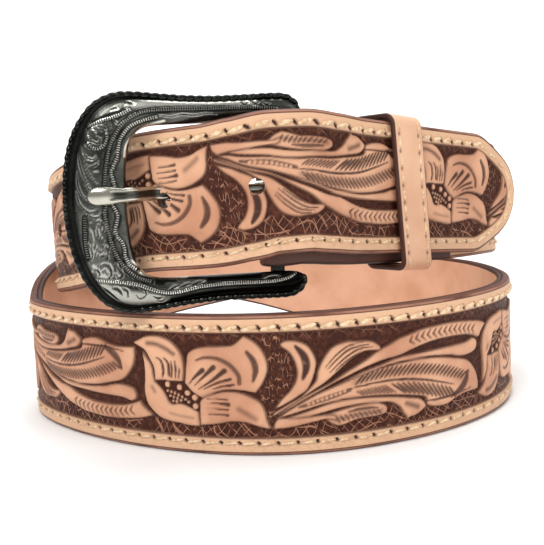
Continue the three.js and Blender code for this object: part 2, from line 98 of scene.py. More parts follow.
# The two turns between the fold and the tip strand, in the same shares.
TURNS = (
    (0.904, -0.073, 0.902), (0.983, 0.087, 0.889), (1.01, 0.28, 0.877), (0.994, 0.507, 0.85),
    (0.906, 0.733, 0.806), (0.744, 0.927, 0.719), (0.475, 1.047, 0.617), (0.15, 1.093, 0.516),
    (-0.175, 1.08, 0.435), (-0.475, 1.0, 0.364), (-0.725, 0.833, 0.304), (-0.906, 0.587, 0.243),
    (-0.996, 0.293, 0.182), (-1.016, 0.053, 0.111), (-1.0, -0.133, 0.036), (-0.956, -0.293, 0.0),
    (-0.869, -0.44, 0.0), (-0.756, -0.573, 0.0), (-0.6375, -0.683, 0.0), (-0.481, -0.797, 0.0),
    (-0.315, -0.885, 0.0), (-0.1375, -0.947, 0.0), (0.045, -0.969, 0.0), (0.23, -0.947, 0.0),
    (0.404, -0.885, 0.0), (0.566, -0.795, 0.0), (0.716, -0.669, 0.0), (0.831, -0.527, 0.0),
    (0.9125, -0.367, 0.0), (0.969, -0.167, 0.0), (0.9875, 0.027, 0.0), (0.9825, 0.24, 0.0),
    (0.9475, 0.453, 0.0), (0.8525, 0.687, 0.0), (0.7125, 0.84, 0.024), (0.5375, 0.94, 0.101),
    (0.3, 0.997, 0.213), (0.0, 1.011, 0.364), (-0.3, 0.967, 0.49), (-0.55, 0.847, 0.592),
    (-0.744, 0.66, 0.668), (-0.855, 0.413, 0.721), (-0.898, 0.147, 0.755),
)

# Flap behind the fold: share of its length from the bar, share of the extra inset.
FLAP = ((1, 0), (0.75, 0), (0.5, 0), (0.3, 0), (0.2, 0.14), (0.1, 0.7), (0, 1))

# Strap under the tip strand: distance from the bar as a share of the fold, share of full body.
UNDER = ((0, 0), (0.1, 0.4), (0.2, 0.85), (0.32, 1), (0.48, 1), (0.64, 1), (0.8, 1), (0.94, 1), (1.07, 1))

# Outline of the tip: distance from the end as a share of the taper, half width as a share.
TIP_OUTLINE = (
    (0, 0.12), (0.03, 0.24), (0.08, 0.37), (0.16, 0.5), (0.27, 0.61), (0.42, 0.72), (0.62, 0.84),
    (0.84, 0.955), (1, 1),
)

# Half of the buckle frame from the heel end to the toe: outer edge along and across, inner edge
# along and across, thickness, in shares of the frame's own sizes.
FRAME_ROWS = (
    (1.006, 0.25, 0.981, 1.05, 0.6), (0.988, 0.52, 0.938, 1.02, 0.66), (0.931, 0.72, 0.875, 1.005, 0.72),
    (0.831, 0.81, 0.787, 1, 0.76), (0.562, 0.8, 0.562, 1, 0.8), (0.281, 0.79, 0.281, 1, 0.86),
    (0.031, 0.84, 0.062, 1, 0.92), (-0.188, 0.92, -0.125, 1, 0.96), (-0.362, 0.985, -0.25, 0.99, 1),
    (-0.5, 0.99, -0.325, 0.956, 1), (-0.613, 0.88, -0.375, 0.897, 1), (-0.713, 0.67, -0.409, 0.824, 1),
    (-0.797, 0.34, -0.434, 0.725, 1), (-0.869, -0.06, -0.453, 0.598, 1), (-0.925, -0.56, -0.466, 0.461, 1),
    (-0.963, -1.12, -0.472, 0.309, 1), (-0.984, -1.72, -0.478, 0.152, 1),
)

# Front of the frame's cross-section: share of the way from the outer to the inner edge, height.
FRAME_FACE = (
    (0, 0.3), (0.03, 0.5), (0.09, 0.56), (0.14, 0.45), (0.17, 0.36), (0.23, 0.56), (0.32, 0.8),
    (0.5, 1), (0.7, 0.92), (0.88, 0.62), (0.97, 0.34), (1, 0),
)


def srgb(red: int, green: int, blue: int) -> Colour:
    """Linear colour of an 8-bit screen colour."""
    def linear(value: int) -> float:
        """Linear value of one channel."""
        share = value / 255
        return share / 12.92 if share < 0.04045 else ((share + 0.055) / 1.055) ** 2.4
    return (linear(red), linear(green), linear(blue))


def smoothstep(low: float, high: float, value: Array) -> Array:
    """Smooth rise from 0 at low to 1 at high; low may be above high for a fall."""
    share = np.clip((np.asarray(value, float) - low) / (high - low), 0, 1)
    return share * share * (3 - 2 * share)


def spans(knots: Array) -> Iterator[tuple[Array, Array, Array, Array]]:
    """Each span of a line of knots, between the knot before it and the one after it."""
    padded = np.vstack([2 * knots[0] - knots[1], knots, 2 * knots[-1] - knots[-2]])
    return zip(padded, padded[1:], padded[2:], padded[3:])


def cubic(here: Array, there: Array, leave: Array, arrive: Array, steps: int) -> Array:
    """Points of a curve between two knots, from its directions there."""
    share = (np.arange(steps) / steps)[:, None]
    return (
        here
        + leave * share
        + (3 * (there - here) - 2 * leave - arrive) * share**2
        + (2 * (here - there) + leave + arrive) * share**3
    )


def smooth_path(points: Sequence[Point], steps: int = 6) -> Array:
    """Catmull-Rom curve through points.

    Args:
        points: Two or more points, of any number of coordinates.
        steps: Samples between two neighbouring points.

    Returns:
        The samples, with the first and the last point among them.
    """
    knots = np.asarray(points, float)
    if len(knots) < 3:
        return np.linspace(knots[0], knots[-1], steps + 1)
    parts = [cubic(here, there, (there - before) / 2, (after - here) / 2, steps)
             for before, here, there, after in spans(knots)]
    return np.vstack([*parts, knots[-1:]])


def arc_of(path: Array) -> Array:
    """Distance along a path at each of its points."""
    return np.concatenate([[0], np.cumsum(np.linalg.norm(np.diff(path, axis=0), axis=1))])


def read_off(rows: Array, arc: Array, stops: Array) -> Array:
    """Rows of a path, blended at distances along it."""
    return np.column_stack([np.interp(stops, arc, column) for column in rows.T])


def unit(rows: Array) -> Array:
    """Directions of length one."""
    return rows / np.linalg.norm(rows, axis=1, keepdims=True)


def point_at(path: Array, share: float) -> Array:
    """Point of a path at a share of its length."""
    arc = arc_of(path)
    return read_off(path, arc, np.array([share * arc[-1]]))[0]


def rounded(half_out: float | Array, half_up: float, radius: float, steps: int) -> tuple[Array, Array]:
    """Line round a rectangle with rounded corners.

    Args:
        half_out: Half its size along the first axis; several give as many lines.
        half_up: Half its size along the second axis.
        radius: Radius of its corners.
        steps: Steps of each corner.

    Returns:
        The points, and the direction out of the line at each.
    """
    signs_out, signs_up, starts = np.repeat(CORNERS, steps + 1, axis=0).T
    angles = np.radians(starts + np.tile(np.linspace(0, 90, steps + 1), len(CORNERS)))
    out = signs_out * (np.asarray(half_out)[..., None] - radius) + radius * np.cos(angles)
    up = signs_up * (half_up - radius) + radius * np.sin(angles)
    return np.stack(np.broadcast_arrays(out, up), axis=-1), np.column_stack([np.cos(angles), np.sin(angles)])


def path_distance(x: Array, y: Array, path: Array) -> tuple[Array, Array]:
    """Distance from places to a path, and the share of its length at the nearest point.

    Args:
        x: First coordinate of each place.
        y: Second coordinate of each place.
        path: Points of the path.

    Returns:
        The distances and the shares, in the shape of x.
    """
    best = np.full(np.shape(x), np.inf)
    share = np.zeros(np.shape(x))
    arc = arc_of(path)
    for k in range(len(path) - 1):
        start, step = path[k], path[k + 1] - path[k]
        span = float(step @ step)
        if span == 0:
            continue
        t = np.clip(((x - start[0]) * step[0] + (y - start[1]) * step[1]) / span, 0, 1)
        gap = np.hypot(x - start[0] - t * step[0], y - start[1] - t * step[1])
        closer = gap < best
        best = np.where(closer, gap, best)
        share = np.where(closer, (arc[k] + t * (arc[k + 1] - arc[k])) / arc[-1], share)
    return best, share


def contains(x: Array, y: Array, outline: Array) -> Array:
    """Whether each place lies inside a closed outline."""
    inside = np.zeros(np.shape(x), bool)
    for (x1, y1), (x2, y2) in zip(outline, np.roll(outline, -1, axis=0)):
        if y1 == y2:
            continue
        crosses = (y1 > y) != (y2 > y)
        inside ^= crosses & (x < (x2 - x1) * (y - y1) / (y2 - y1) + x1)
    return inside


def inside_cover(x: Array, y: Array, outline: Array, soft: float) -> tuple[Array, Array]:
    """Distance to a closed outline, and a cover that is 1 inside and fades over its line."""
    gap, _ = path_distance(x, y, np.vstack([outline, outline[:1]]))
    return gap, smoothstep(-soft, soft, np.where(contains(x, y, outline), gap, -gap))


@dataclass(frozen=True)
class Placing:
    """Where a motif is put on a canvas: moved along it, and perhaps turned over."""

    along: float = 0.0
    flip: bool = False

    def path(self, points: Array) -> Array:
        """The points in their place."""
        sign = -1.0 if self.flip else 1.0
        return np.column_stack([points[:, 0] + self.along, sign * points[:, 1]])


@dataclass
class Canvas:
    """Flat drawing of tooling on a grid of square cells: relief, dye, and a dark tone of antique finish and
    painted shade; on the buckle the dye layer holds bright-cut bands, painted highlights and painted shade.

    Attributes:
        left: Lowest coordinate along the pattern.
        right: Highest coordinate along the pattern.
        low: Lowest coordinate across it.
        high: Highest coordinate across it.
        cell: Size of a cell.
        ground: Depth of the untouched ground.
    """

    left: float
    right: float
    low: float
    high: float
    cell: float
    ground: float

    def __post_init__(self) -> None:
        """Lays the grid out, all of it ground."""
        self.along = np.arange(self.left, self.right + self.cell, self.cell)
        self.across = np.arange(self.low, self.high + self.cell, self.cell)
        shape = (len(self.across), len(self.along))
        self.height, self.dye = np.full(shape, -self.ground), np.ones(shape)
        self.tone, self.mark, self.way = np.zeros(shape), np.zeros(shape), np.zeros(shape)

    def window(self, path: Array, margin: float) -> tuple[tuple[slice, slice], Array, Array]:
        """Cells near a path.

        Args:
            path: The path.
            margin: How far round it the window reaches.

        Returns:
            The window's slices and the coordinates of its cells.
        """
        low, high = path.min(0) - margin, path.max(0) + margin
        columns = slice(*np.searchsorted(self.along, [low[0], high[0]]))
        rows = slice(*np.searchsorted(self.across, [low[1], high[1]]))
        x, y = np.meshgrid(self.along[columns], self.across[rows])
        return (rows, columns), x, y

    def near(
        self, points: Sequence[Point], placing: Placing, margin: float, steps: int = 6
    ) -> tuple[tuple[slice, slice], Array, Array, float]:
        """Cells near the smooth line through some points.

        Args:
            points: Points of the line.
            placing: Where the drawing is put.
            margin: How far from the line the cells reach.
            steps: Samples between two neighbouring points.

        Returns:
            The cells' slices, their distances to the line, the shares of its length, and its length.
        """
        path = placing.path(smooth_path(points, steps))
        cells, x, y = self.window(path, margin)
        return cells, *path_distance(x, y, path), arc_of(path)[-1]

    def lay(self, cells: tuple[slice, slice], cover: Array, **values: Array | float) -> None:
        """Lays values over layers of some cells, as far as a cover says."""
        for name, value in values.items():
            layer = getattr(self, name)
            layer[cells] = layer[cells] * (1 - cover) + value * cover

    def darken(self, cells: tuple[slice, slice], tone: Array) -> None:
        """Raises the dark tone of some cells, antique finish and painted shade alike, to a tone at least."""
        self.tone[cells] = np.maximum(self.tone[cells], tone)

    def samples(self, names: Sequence[str], x: Array, y: Array) -> dict[str, Array]:
        """Values of layers at any places, blended between cells."""
        return {name: self.sample(getattr(self, name), x, y) for name in names}

    def sample(self, layer: Array, x: Array, y: Array) -> Array:
        """Value of a layer at any places."""
        u = np.clip((x - self.left) / self.cell, 0, len(self.along) - 1.001)
        v = np.clip((y - self.low) / self.cell, 0, len(self.across) - 1.001)
        i, j = v.astype(int), u.astype(int)
        a, b = v - i, u - j
        lower = layer[i, j] * (1 - b) + layer[i, j + 1] * b
        upper = layer[i + 1, j] * (1 - b) + layer[i + 1, j + 1] * b
        return lower * (1 - a) + upper * a


@dataclass(frozen=True)
class Petal:
    """Raised shape with a cut outline and a bevelled ground round it, and painted shade beside it.

    Attributes:
        sides: Smooth sides that meet at the corners of the outline.
        shoulder: How far the rim of the shape is rounded down.
        bevel: How far the ground or a shape behind is pressed down beside it.
    """

    sides: tuple[tuple[Point, ...], ...]
    shoulder: float = 0.3
    bevel: float = 0.35

    def outline(self) -> Array:
        """Closed outline, smooth along each side."""
        return np.vstack([smooth_path(side)[:-1] for side in self.sides])

    def carve(self, canvas: Canvas, placing: Placing) -> None:
        """Raises the shape on the canvas."""
        outline = placing.path(self.outline())
        cells, x, y = canvas.window(outline, 2.0)
        gap, cover = inside_cover(x, y, outline, 0.12)
        pressed = canvas.height[cells] - self.bevel * np.exp(-gap / 0.55)
        canvas.height[cells] = np.maximum(pressed, -canvas.ground - 0.2)
        line = 0.85 * np.exp(-((gap / 0.26) ** 2))
        # Painted shadow: a soft dark tone on the ground and on shapes lying beside the raised outline.
        soft_shadow = 0.5 * np.exp(-((gap / 0.7) ** 2))
        canvas.darken(cells, np.maximum(line, soft_shadow))
        within = np.maximum(line, 0.28 * np.exp(-gap / 0.6))
        canvas.lay(cells, cover, height=-self.shoulder * np.exp(-gap / 0.4), tone=within, dye=0, mark=0)


@dataclass(frozen=True)
class Groove:
    """Cut that narrows or swells along its way.

    Attributes:
        points: Points that the cut passes.
        widths: Half width at the start, the middle and the end.
        depth: Depth of the cut.
        tone: Strength of the antique finish in it.
        glint: Strength of the painted highlight on either side of the cut.
    """

    points: tuple[Point, ...]
    widths: tuple[float, float, float] = (0.15, 0.3, 0.15)
    depth: float = 0.4
    tone: float = 0.95
    glint: float = 0.0

    def carve(self, canvas: Canvas, placing: Placing) -> None:
        """Cuts the groove into the canvas."""
        cells, gap, share, _ = canvas.near(self.points, placing, max(self.widths) + 0.5)
        start, middle, end = self.widths
        half = start * (1 - share) ** 2 + (4 * middle - start - end) * share * (1 - share) + end * share**2
        reach = np.maximum(half, 0.12)
        canvas.height[cells] -= self.depth * smoothstep(1.1, 0.25, gap / reach)
        canvas.darken(cells, self.tone * smoothstep(1.25, 0.7, gap / reach))
        # Painted highlight: a bright ring on either side of the cut, laid on the dye layer.
        if self.glint:
            glint_ring = smoothstep(2.6, 1.6, gap / reach)
            canvas.dye[cells] = np.maximum(canvas.dye[cells], self.glint * glint_ring)


@dataclass(frozen=True)
class Shade:
    """Soft hollow with a rubbed-in antique tone."""

    points: tuple[Point, ...]
    width: float = 0.8
    tone: float = 0.6

    def carve(self, canvas: Canvas, placing: Placing) -> None:
        """Presses the hollow into the canvas."""
        cells, gap, *_ = canvas.near(self.points, placing, 2.4 * self.width)
        soft = np.exp(-((gap / self.width) ** 2))
        canvas.height[cells] -= 0.14 * soft
        canvas.darken(cells, self.tone * soft)


@dataclass(frozen=True)
class Feather:
    """Row of short cuts from one curve to another, as the barbs of a leaf.

    Attributes:
        inner: Curve that the cuts start on.
        outer: Curve that they end on.
        count: Number of cuts.
        lead: How far the outer end runs ahead, as a share of the curve.
        width: Half width of a cut at its middle.
    """

    inner: tuple[Point, ...]
    outer: tuple[Point, ...]
    count: int
    lead: float = 0.0
    width: float = 0.3

    def carve(self, canvas: Canvas, placing: Placing) -> None:
        """Cuts the row into the canvas."""
        inner, outer = smooth_path(self.inner), smooth_path(self.outer)
        for k in range(self.count):
            share = (k + 0.5) / self.count
            start = point_at(inner, share)
            end = point_at(outer, min(share + self.lead, 1.0))
            cut = Groove((tuple(start), tuple(end)), (0.5 * self.width, self.width, 0.7 * self.width), 0.3)
            cut.carve(canvas, placing)


@dataclass(frozen=True)
class Chevrons:
    """Row of small arrow cuts along a stem."""

    points: tuple[Point, ...]
    count: int
    arm: float = 1.4

    def carve(self, canvas: Canvas, placing: Placing) -> None:
        """Cuts the arrows into the canvas."""
        path = smooth_path(self.points)
        for k in range(self.count):
            share = (k + 0.5) / self.count
            apex = point_at(path, share)
            heading = point_at(path, min(share + 0.02, 1.0)) - apex
            heading /= max(float(np.linalg.norm(heading)), 1e-9)
            side = np.array([-heading[1], heading[0]])
            for sign in (-1, 1):
                end = apex + self.arm * (0.9 * heading + sign * side)
                Groove((tuple(apex), tuple(end)), (0.34, 0.28, 0.12), 0.32, 0.8).carve(canvas, placing)


@dataclass(frozen=True)
class Seeds:
    """Round beads of a flower's centre, each with a ring pressed round it."""

    centres: tuple[Point, ...]
    radius: float

    def carve(self, canvas: Canvas, placing: Placing) -> None:
        """Raises the beads on the canvas."""
        for centre in placing.path(np.asarray(self.centres, float)):
            cells, x, y = canvas.window(centre[None, :], self.radius + 0.6)
            gap = np.hypot(x - centre[0], y - centre[1])
            cover = smoothstep(self.radius + 0.08, self.radius - 0.12, gap)
            dome = 0.3 * np.sqrt(np.clip(1 - (gap / self.radius) ** 2, 0, 1)) - 0.35
            canvas.lay(cells, cover, height=dome, dye=0, tone=0.06)


@dataclass(frozen=True)
class Hollow:
    """Dark pressed field, such as the one between the beads of a flower."""

    outline: tuple[Point, ...]
    depth: float = 0.55

    def carve(self, canvas: Canvas, placing: Placing) -> None:
        """Presses the field into the canvas."""
        outline = placing.path(smooth_path(self.outline + self.outline[:1])[:-1])
        cells, x, y = canvas.window(outline, 0.6)
        _, cover = inside_cover(x, y, outline, 0.15)
        canvas.lay(cells, cover, height=-self.depth, mark=0)
        canvas.darken(cells, cover)


@dataclass(frozen=True)
class Scratched:
    """Field of the ground where the dye is scratched through, marked for the finish."""

    points: tuple[Point, ...]
    width: float

    def carve(self, canvas: Canvas, placing: Placing) -> None:
        """Marks the field on the canvas."""
        cells, gap, *_ = canvas.near(self.points, placing, self.width)
        soft = smoothstep(self.width, 0.5 * self.width, gap)
        canvas.mark[cells] = np.maximum(canvas.mark[cells], soft)


Tool = Petal | Groove | Shade | Feather | Chevrons | Seeds | Hollow | Scratched


def cuts(widths: tuple[float, float, float], depth: float, *lines: tuple[Point, ...]) -> tuple[Groove, ...]:
    """Grooves of equal widths and depth along several lines."""
    return tuple(Groove(line, widths, depth) for line in lines)


# Flower of one repeat, in millimetres along and across the strap.
FLOWER: tuple[Tool, ...] = (
    Petal((
        ((14.3, 0.3), (14.7, 3.4), (15.2, 6.6), (15.8, 8.7), (18, 10), (21.1, 10.6), (24.3, 10.7),
         (27.4, 10.9), (28.9, 11.4), (31.4, 13.5)),
        ((31.4, 13.5), (33.6, 12.3), (35.8, 10), (37.1, 6.9), (37.2, 4), (35.8, 0.6), (33.9, -1.9)),
        ((33.9, -1.9), (30.5, -1.3), (26.8, -1.1), (23, -1.9), (19.9, -3.5), (17.4, -2.5), (15.8, -1.3),
         (14.3, 0.3)),
    )),
    Groove(((19.9, 4.2), (17.5, 2.2), (15.8, 0.3)), (0.75, 0.42, 0.12)),
    Groove(((23, 5.1), (20.6, 2.9), (17.3, -0.1)), (0.75, 0.4, 0.12)),
    Groove(((26, 4.2), (22.6, 1.6), (18.5, -1)), (0.75, 0.4, 0.12)),
    Groove(((27.5, 1.9), (24, 0.9), (20, -0.9)), (0.42, 0.34, 0.12)),
    Groove(((28.3, 0.4), (25, -0.1), (22.5, -0.9)), (0.34, 0.28, 0.12)),
    Groove(((18.2, 6.9), (21, 7.7), (24.6, 7.3), (27.6, 5.6), (29.6, 3), (29.8, 0.8)),
           (0.3, 0.62, 0.6), 0.3, 0.8),
    Groove(((32.1, 9.2), (33.7, 6.9), (34.2, 4.2), (33.4, 1.4)), (0.5, 0.85, 0.4), 0.35, 0.9),
    Petal((
        ((-1.7, 10.9), (0.5, 11.9), (3, 12.9), (6.8, 13.1), (10.5, 11.9), (13.3, 9.1), (14.2, 6.6),
         (14.3, 4), (13.9, 0.9)),
        ((13.9, 0.9), (11, 0.6), (8, 0.9), (5, 0.6)),
        ((5, 0.6), (4.9, 4), (3.9, 6.2), (2.4, 8.7), (0.8, 9.7), (-1.7, 10.9)),
    )),
    Shade(((3.5, 11), (6, 10.9), (9, 9.9), (11.5, 8.4)), 0.7, 0.8),
    Groove(((6.1, 7.2), (7.6, 6.2), (8.2, 3.7), (7.8, 2)), (0.15, 0.42, 0.3)),
    Groove(((8.5, 7.2), (9.8, 5.5), (9.9, 2.2)), (0.15, 0.42, 0.3)),
    Groove(((10.6, 6.4), (10.8, 4.5), (10.6, 1.9)), (0.15, 0.32, 0.24)),
    Groove(((11.9, 6.6), (12, 4), (11.7, 1.8)), (0.12, 0.28, 0.2)),
    Groove(((13, 5.2), (13, 3.5), (12.7, 1.8)), (0.12, 0.24, 0.18)),
    Petal((
        ((1.3, 8.7), (3, 6.6), (4.3, 4.7), (4.9, 0.9), (5.2, 0.3), (7.4, -1.6), (8.6, -3.5), (9.3, -5),
         (10.5, -5.6), (13, -5.3), (16.1, -6.3), (18, -7.2)),
        ((18, -7.2), (18.2, -9.5), (18.3, -11.4)),
        ((18.3, -11.4), (15.5, -11.4), (12.4, -10.95), (9.3, -10.6), (6.1, -9.7), (3.6, -7.8), (2.1, -5.9),
         (1.4, -2.8), (1.6, 0), (1.9, 3.4), (1.6, 6.5), (1.3, 8.7)),
    )),
    Shade(((4.2, -1.2), (5, -2.4)), 0.6, 0.55),
    Shade(((9.5, -8.2), (13, -8.8), (16.5, -9.1)), 0.5, 0.4),
    Petal((
        ((18.3, -5), (19.3, -3.6), (21.8, -2.5), (25.5, -1.5), (29.3, -1.7), (32.4, -2.8), (34.9, -4.4),
         (36.1, -6.6), (36.6, -9.1), (37.6, -11.9)),
        ((37.6, -11.9), (34.3, -11.1), (31.1, -10), (27.4, -9.7), (24.3, -10.3), (21.1, -10.8),
         (18.5, -11.1)),
        ((18.5, -11.1), (18.3, -9.5), (18.4, -7.2), (18.3, -5)),
    )),
    Groove(((20.8, -3.5), (23.5, -3.4), (26.4, -3.7)), (0.12, 0.2, 0.24), 0.3),
    Groove(((20.6, -4.8), (23.5, -4.7), (26.6, -5)), (0.12, 0.22, 0.6), 0.3),
    Groove(((20.4, -6.2), (23.5, -6.2), (26.4, -6.4)), (0.12, 0.2, 0.3), 0.3),
    Groove(((21, -7.7), (23.5, -7.7), (26.3, -7.9)), (0.12, 0.18, 0.4), 0.3),
    Shade(((29.3, -6.2), (31.5, -7.6), (33.5, -8.9)), 0.8, 0.55),
    Hollow(((5.2, 0.7), (9.5, 0.9), (13.9, 0.8), (16.1, -1.3), (17.7, -2.9), (18.6, -4.7), (18.2, -7.4),
            (15.4, -6.3), (13, -5.3), (10.7, -5.6), (9, -4.3), (7.4, -1.9))),
    Seeds(((9.1, -0.2), (12.7, -0.8), (15, -2.3), (17.1, -3.5), (17.2, -5.8)), 0.86),
    Seeds(((9, -2), (10.1, -2.2), (11.2, -2.5), (12.3, -2.9), (13.3, -3.5), (14.3, -4.1), (15.3, -4.8),
           (9.7, -3.3), (10.8, -3.6), (11.9, -3.9), (12.9, -4.5), (10.6, -4.7), (11.7, -4.9)), 0.45),
)

# Spray of leaves of one repeat, right of the flower, in the same millimetres.
SPRAY: tuple[Tool, ...] = (
    Scratched(((40, 12), (40.5, 6), (39.5, 0), (39, -6)), 5.5),
    Petal((
        ((38.8, -8.2), (46, -3.6), (53.6, 0), (58, 2.5), (63, 5), (66.8, 7.2), (69.9, 8.4), (73, 9.7),
         (76.8, 10.6), (80.5, 11.4), (84.9, 11.7), (89.3, 11.9), (94.3, 11.7), (99.3, 11.2),
         (103.6, 10.6), (108, 9.4)),
        ((108, 9.4), (105, 7.2), (103.6, 5.6)),
        ((103.6, 5.6), (101.8, 6.2), (98.6, 7.2), (94.3, 7.7), (89.3, 7.8), (84.9, 7.7), (80.5, 7),
         (76.8, 6.1), (73, 5), (68, 4.4), (63, 3.1), (58, 1.2), (54.3, -0.3), (46.5, -4.2), (38.8, -8.6)),
    )),
    Chevrons(((75.5, 8.4), (80, 9.4), (86, 9.8), (92, 9.8), (97, 9.3), (101, 8.5)), 13),
    Petal((
        ((54, -1.5), (61, 1.5), (68, 3.4), (73, 4.6), (83, 5), (91, 5.2), (97, 5.3), (100.5, 6.1)),
        ((100.5, 6.1), (102.3, 5.2), (102.4, 3.5), (101, 2), (97, 1.4), (93, 1.9)),
        ((93, 1.9), (91, 2.5), (88, 2.9), (83, 3.4), (78, 3.4), (70, 2.9), (64, 1.6), (58, -0.2),
         (54, -1.5)),
    )),
    Petal((
        ((39, -9), (43, -6.4), (49, -3.2), (54, -1.3), (60, 0.6), (66, 2.1), (72, 2.9), (78, 3.3),
         (83, 3.1), (88, 2.5), (93, 1.4), (97.5, 0.2), (100, -1.7), (102, -4.5), (102.8, -7.5),
         (102.6, -9.6)),
        ((102.6, -9.6), (97, -9.5), (93, -10), (89, -11.2), (85, -11.1), (82, -10.2), (81.7, -9)),
        ((81.7, -9), (81, -7.6), (77, -6.6), (73, -5.9), (69, -5.3), (64, -4.9), (59, -4.8), (54, -5.3),
         (49, -6.3), (44, -7.7), (39, -9)),
    )),
    Shade(((60, -0.4), (67, 0.8), (75, 0.8), (83, -0.4), (90, -2.4), (95, -4.2)), 1.3, 0.42),
    Groove(((45, -6.1), (49.5, -4.8), (54, -3.6), (58.5, -2.4)), (0.3, 0.75, 0.5), 0.4, 0.85),
    Seeds(((47.4, -5.3), (48.6, -5), (49.8, -4.6), (51, -4.3), (52.2, -4), (53.4, -3.6), (54.6, -3.3),
           (55.8, -3), (57, -2.6)), 0.46),
    Feather(((59.3, -1.3), (64, -0.6), (70, -0.3), (78, -0.7), (85, -2), (91, -3.8), (95, -5)),
            ((61, 0.9), (67, 2), (73, 2.3), (79, 2), (86, 0.7), (92, -1.1), (97, -3.2)), 26, 0.02, 0.36),
    Feather(((59.5, -3), (64, -2.5), (68.5, -2.3)), ((61.5, -4.3), (66.5, -4.5), (72, -4.9)), 9, 0.02, 0.24),
    Feather(((69.5, -2.2), (75, -2.5), (81, -3.6), (86, -5), (90.5, -6.6)),
            ((73.5, -5.2), (79, -6.3), (84.5, -7.9), (88.5, -9), (92.5, -9.7)), 13, 0.02, 0.42),
    Groove(((58.5, -2.1), (63, -1.6), (69, -1.3), (75, -1.7), (81, -2.8), (86, -4.2), (91.5, -5.9)),
           (0.15, 0.36, 0.15), 0.45),
    Groove(((91.4, -9), (94.2, -7.9), (96.6, -5.8), (97.8, -3.2)), (0.5, 1.2, 0.5), 0.4, 0.9),
    Groove(((81.9, -8.9), (86, -9), (91, -9), (95, -8.7), (99, -8.2)), (0.25, 0.3, 0.12)),
    Petal((
        ((40.5, -9.2), (47.4, -7.2), (53, -5.6), (58, -5), (63, -5.1), (68, -5.6), (71.8, -6.1),
         (75.5, -6.9), (79.3, -7.8), (81.1, -9.4), (81, -10.5), (78, -12.2), (75.8, -12.5), (75.2, -13.3)),
        ((75.2, -13.3), (74.5, -11.9), (73.8, -10.9), (72.9, -9.4), (71.5, -8.2), (69.5, -7.3), (66, -7),
         (60, -6.8), (55, -7.3), (50, -8.3), (45, -9.3), (40.5, -9.2)),
    )),
    Shade(((74.8, -8.4), (76.8, -9.2), (78.4, -9.9)), 0.8, 0.75),
    Petal((
        ((52, -8.7), (56, -7.6), (60, -7), (64.3, -6.9), (67, -7.2), (68.9, -8.4), (68.8, -9.9)),
        ((68.8, -9.9), (66.8, -10.5), (63, -10.6), (59.9, -10.8), (56.8, -11.7), (54.9, -11.9), (53, -11),
         (51.8, -9.8), (52, -8.7)),
    )),
    Groove(((57.6, -8.4), (61.5, -8), (66, -8.2)), (0.2, 0.55, 0.25), 0.35, 0.85),
    Shade(((54.5, -10.2), (58.5, -9.6), (63, -9.3), (67, -9.2)), 0.8, 0.55),
    Feather(((53.6, -9.3), (58, -8.9), (62, -8.8), (66.5, -8.8)),
            ((54.4, -11.2), (59, -10.4), (63, -10.1), (67.2, -9.9)), 10, 0.03, 0.28),
    Petal((
        ((38.2, -11.9), (43, -11.4), (49, -10.3), (52.5, -9.8), (55, -10.4)),
        ((55, -10.4), (54, -9), (51, -8.6), (45, -9), (39.5, -8.8)),
        ((39.5, -8.8), (38.4, -10.2), (38.2, -11.9)),
    )),
    Petal((
        ((38.4, -7.4), (42.4, -5), (45.5, -3.3), (48, -1), (49.6, 0.9), (50.2, 3.4), (51.8, 6.6),
         (54.3, 9.4), (58, 10.6), (61.1, 10.4), (64.9, 10), (67.1, 8.7), (67.7, 7.8)),
        ((67.7, 7.8), (66.8, 7.3), (63, 7.5), (59.9, 6.2), (57.4, 4.4), (54.3, 1.9), (51.8, 0),
         (48.6, -1.9), (45.5, -3.9), (43, -5.4), (38.4, -8.2)),
        ((38.4, -8.2), (38.2, -7.8), (38.4, -7.4)),
    )),
    Groove(((52.2, 4.3), (55, 7.2), (58.6, 9.5), (62.5, 9.9)), (0.1, 0.24, 0.1)),
    Groove(((52.5, 3.5), (55.5, 6.3), (59, 8.6), (64, 9.3)), (0.1, 0.28, 0.1)),
    Groove(((53.3, 2.8), (57, 6), (61, 8.2), (65, 8.5)), (0.1, 0.28, 0.1)),
    Groove(((54.5, 2.9), (58, 5.6), (61.5, 7.4)), (0.1, 0.22, 0.1)),
    Petal((
        ((38.4, -6.6), (40.5, -3.8), (42.7, -1.6), (44.3, 0.9), (44.8, 3.4), (44.3, 6.2), (43, 8.7),
         (41.1, 10.3), (40.7, 11.2)),
        ((40.7, 11.2), (42.4, 11.9), (44.9, 11.7), (47.4, 10.6), (48.9, 8.7), (49.8, 6.2), (49.6, 4),
         (48.6, 0.9), (47.1, -1.6), (44.9, -3.1), (42.4, -4.6), (38.4, -6.6)),
    )),
    Groove(((44.6, 10.4), (46.6, 7.8), (47.2, 4.8), (46.2, 1.4)), (0.4, 1.1, 0.35), 0.35, 1.0),
)


@dataclass(frozen=True)
class FloralTile:
    """One repeat of the tooling: a flower and its spray, turned over at each repeat."""

    length: float = 104.0
    half_field: float = 15.2
    cell: float = 0.2
    ground: float = 0.75

    def draw(self) -> Canvas:
        """Draws the repeat with what reaches into it from its neighbours."""
        canvas = Canvas(0, self.length, -self.half_field, self.half_field, self.cell, self.ground)
        before = Placing(-self.length, True)
        here = Placing()
        after = Placing(self.length, True)
        for tools, placing in ((SPRAY, before), (SPRAY, here), (FLOWER, here), (FLOWER, after)):
            for tool in tools:
                tool.carve(canvas, placing)
        return canvas


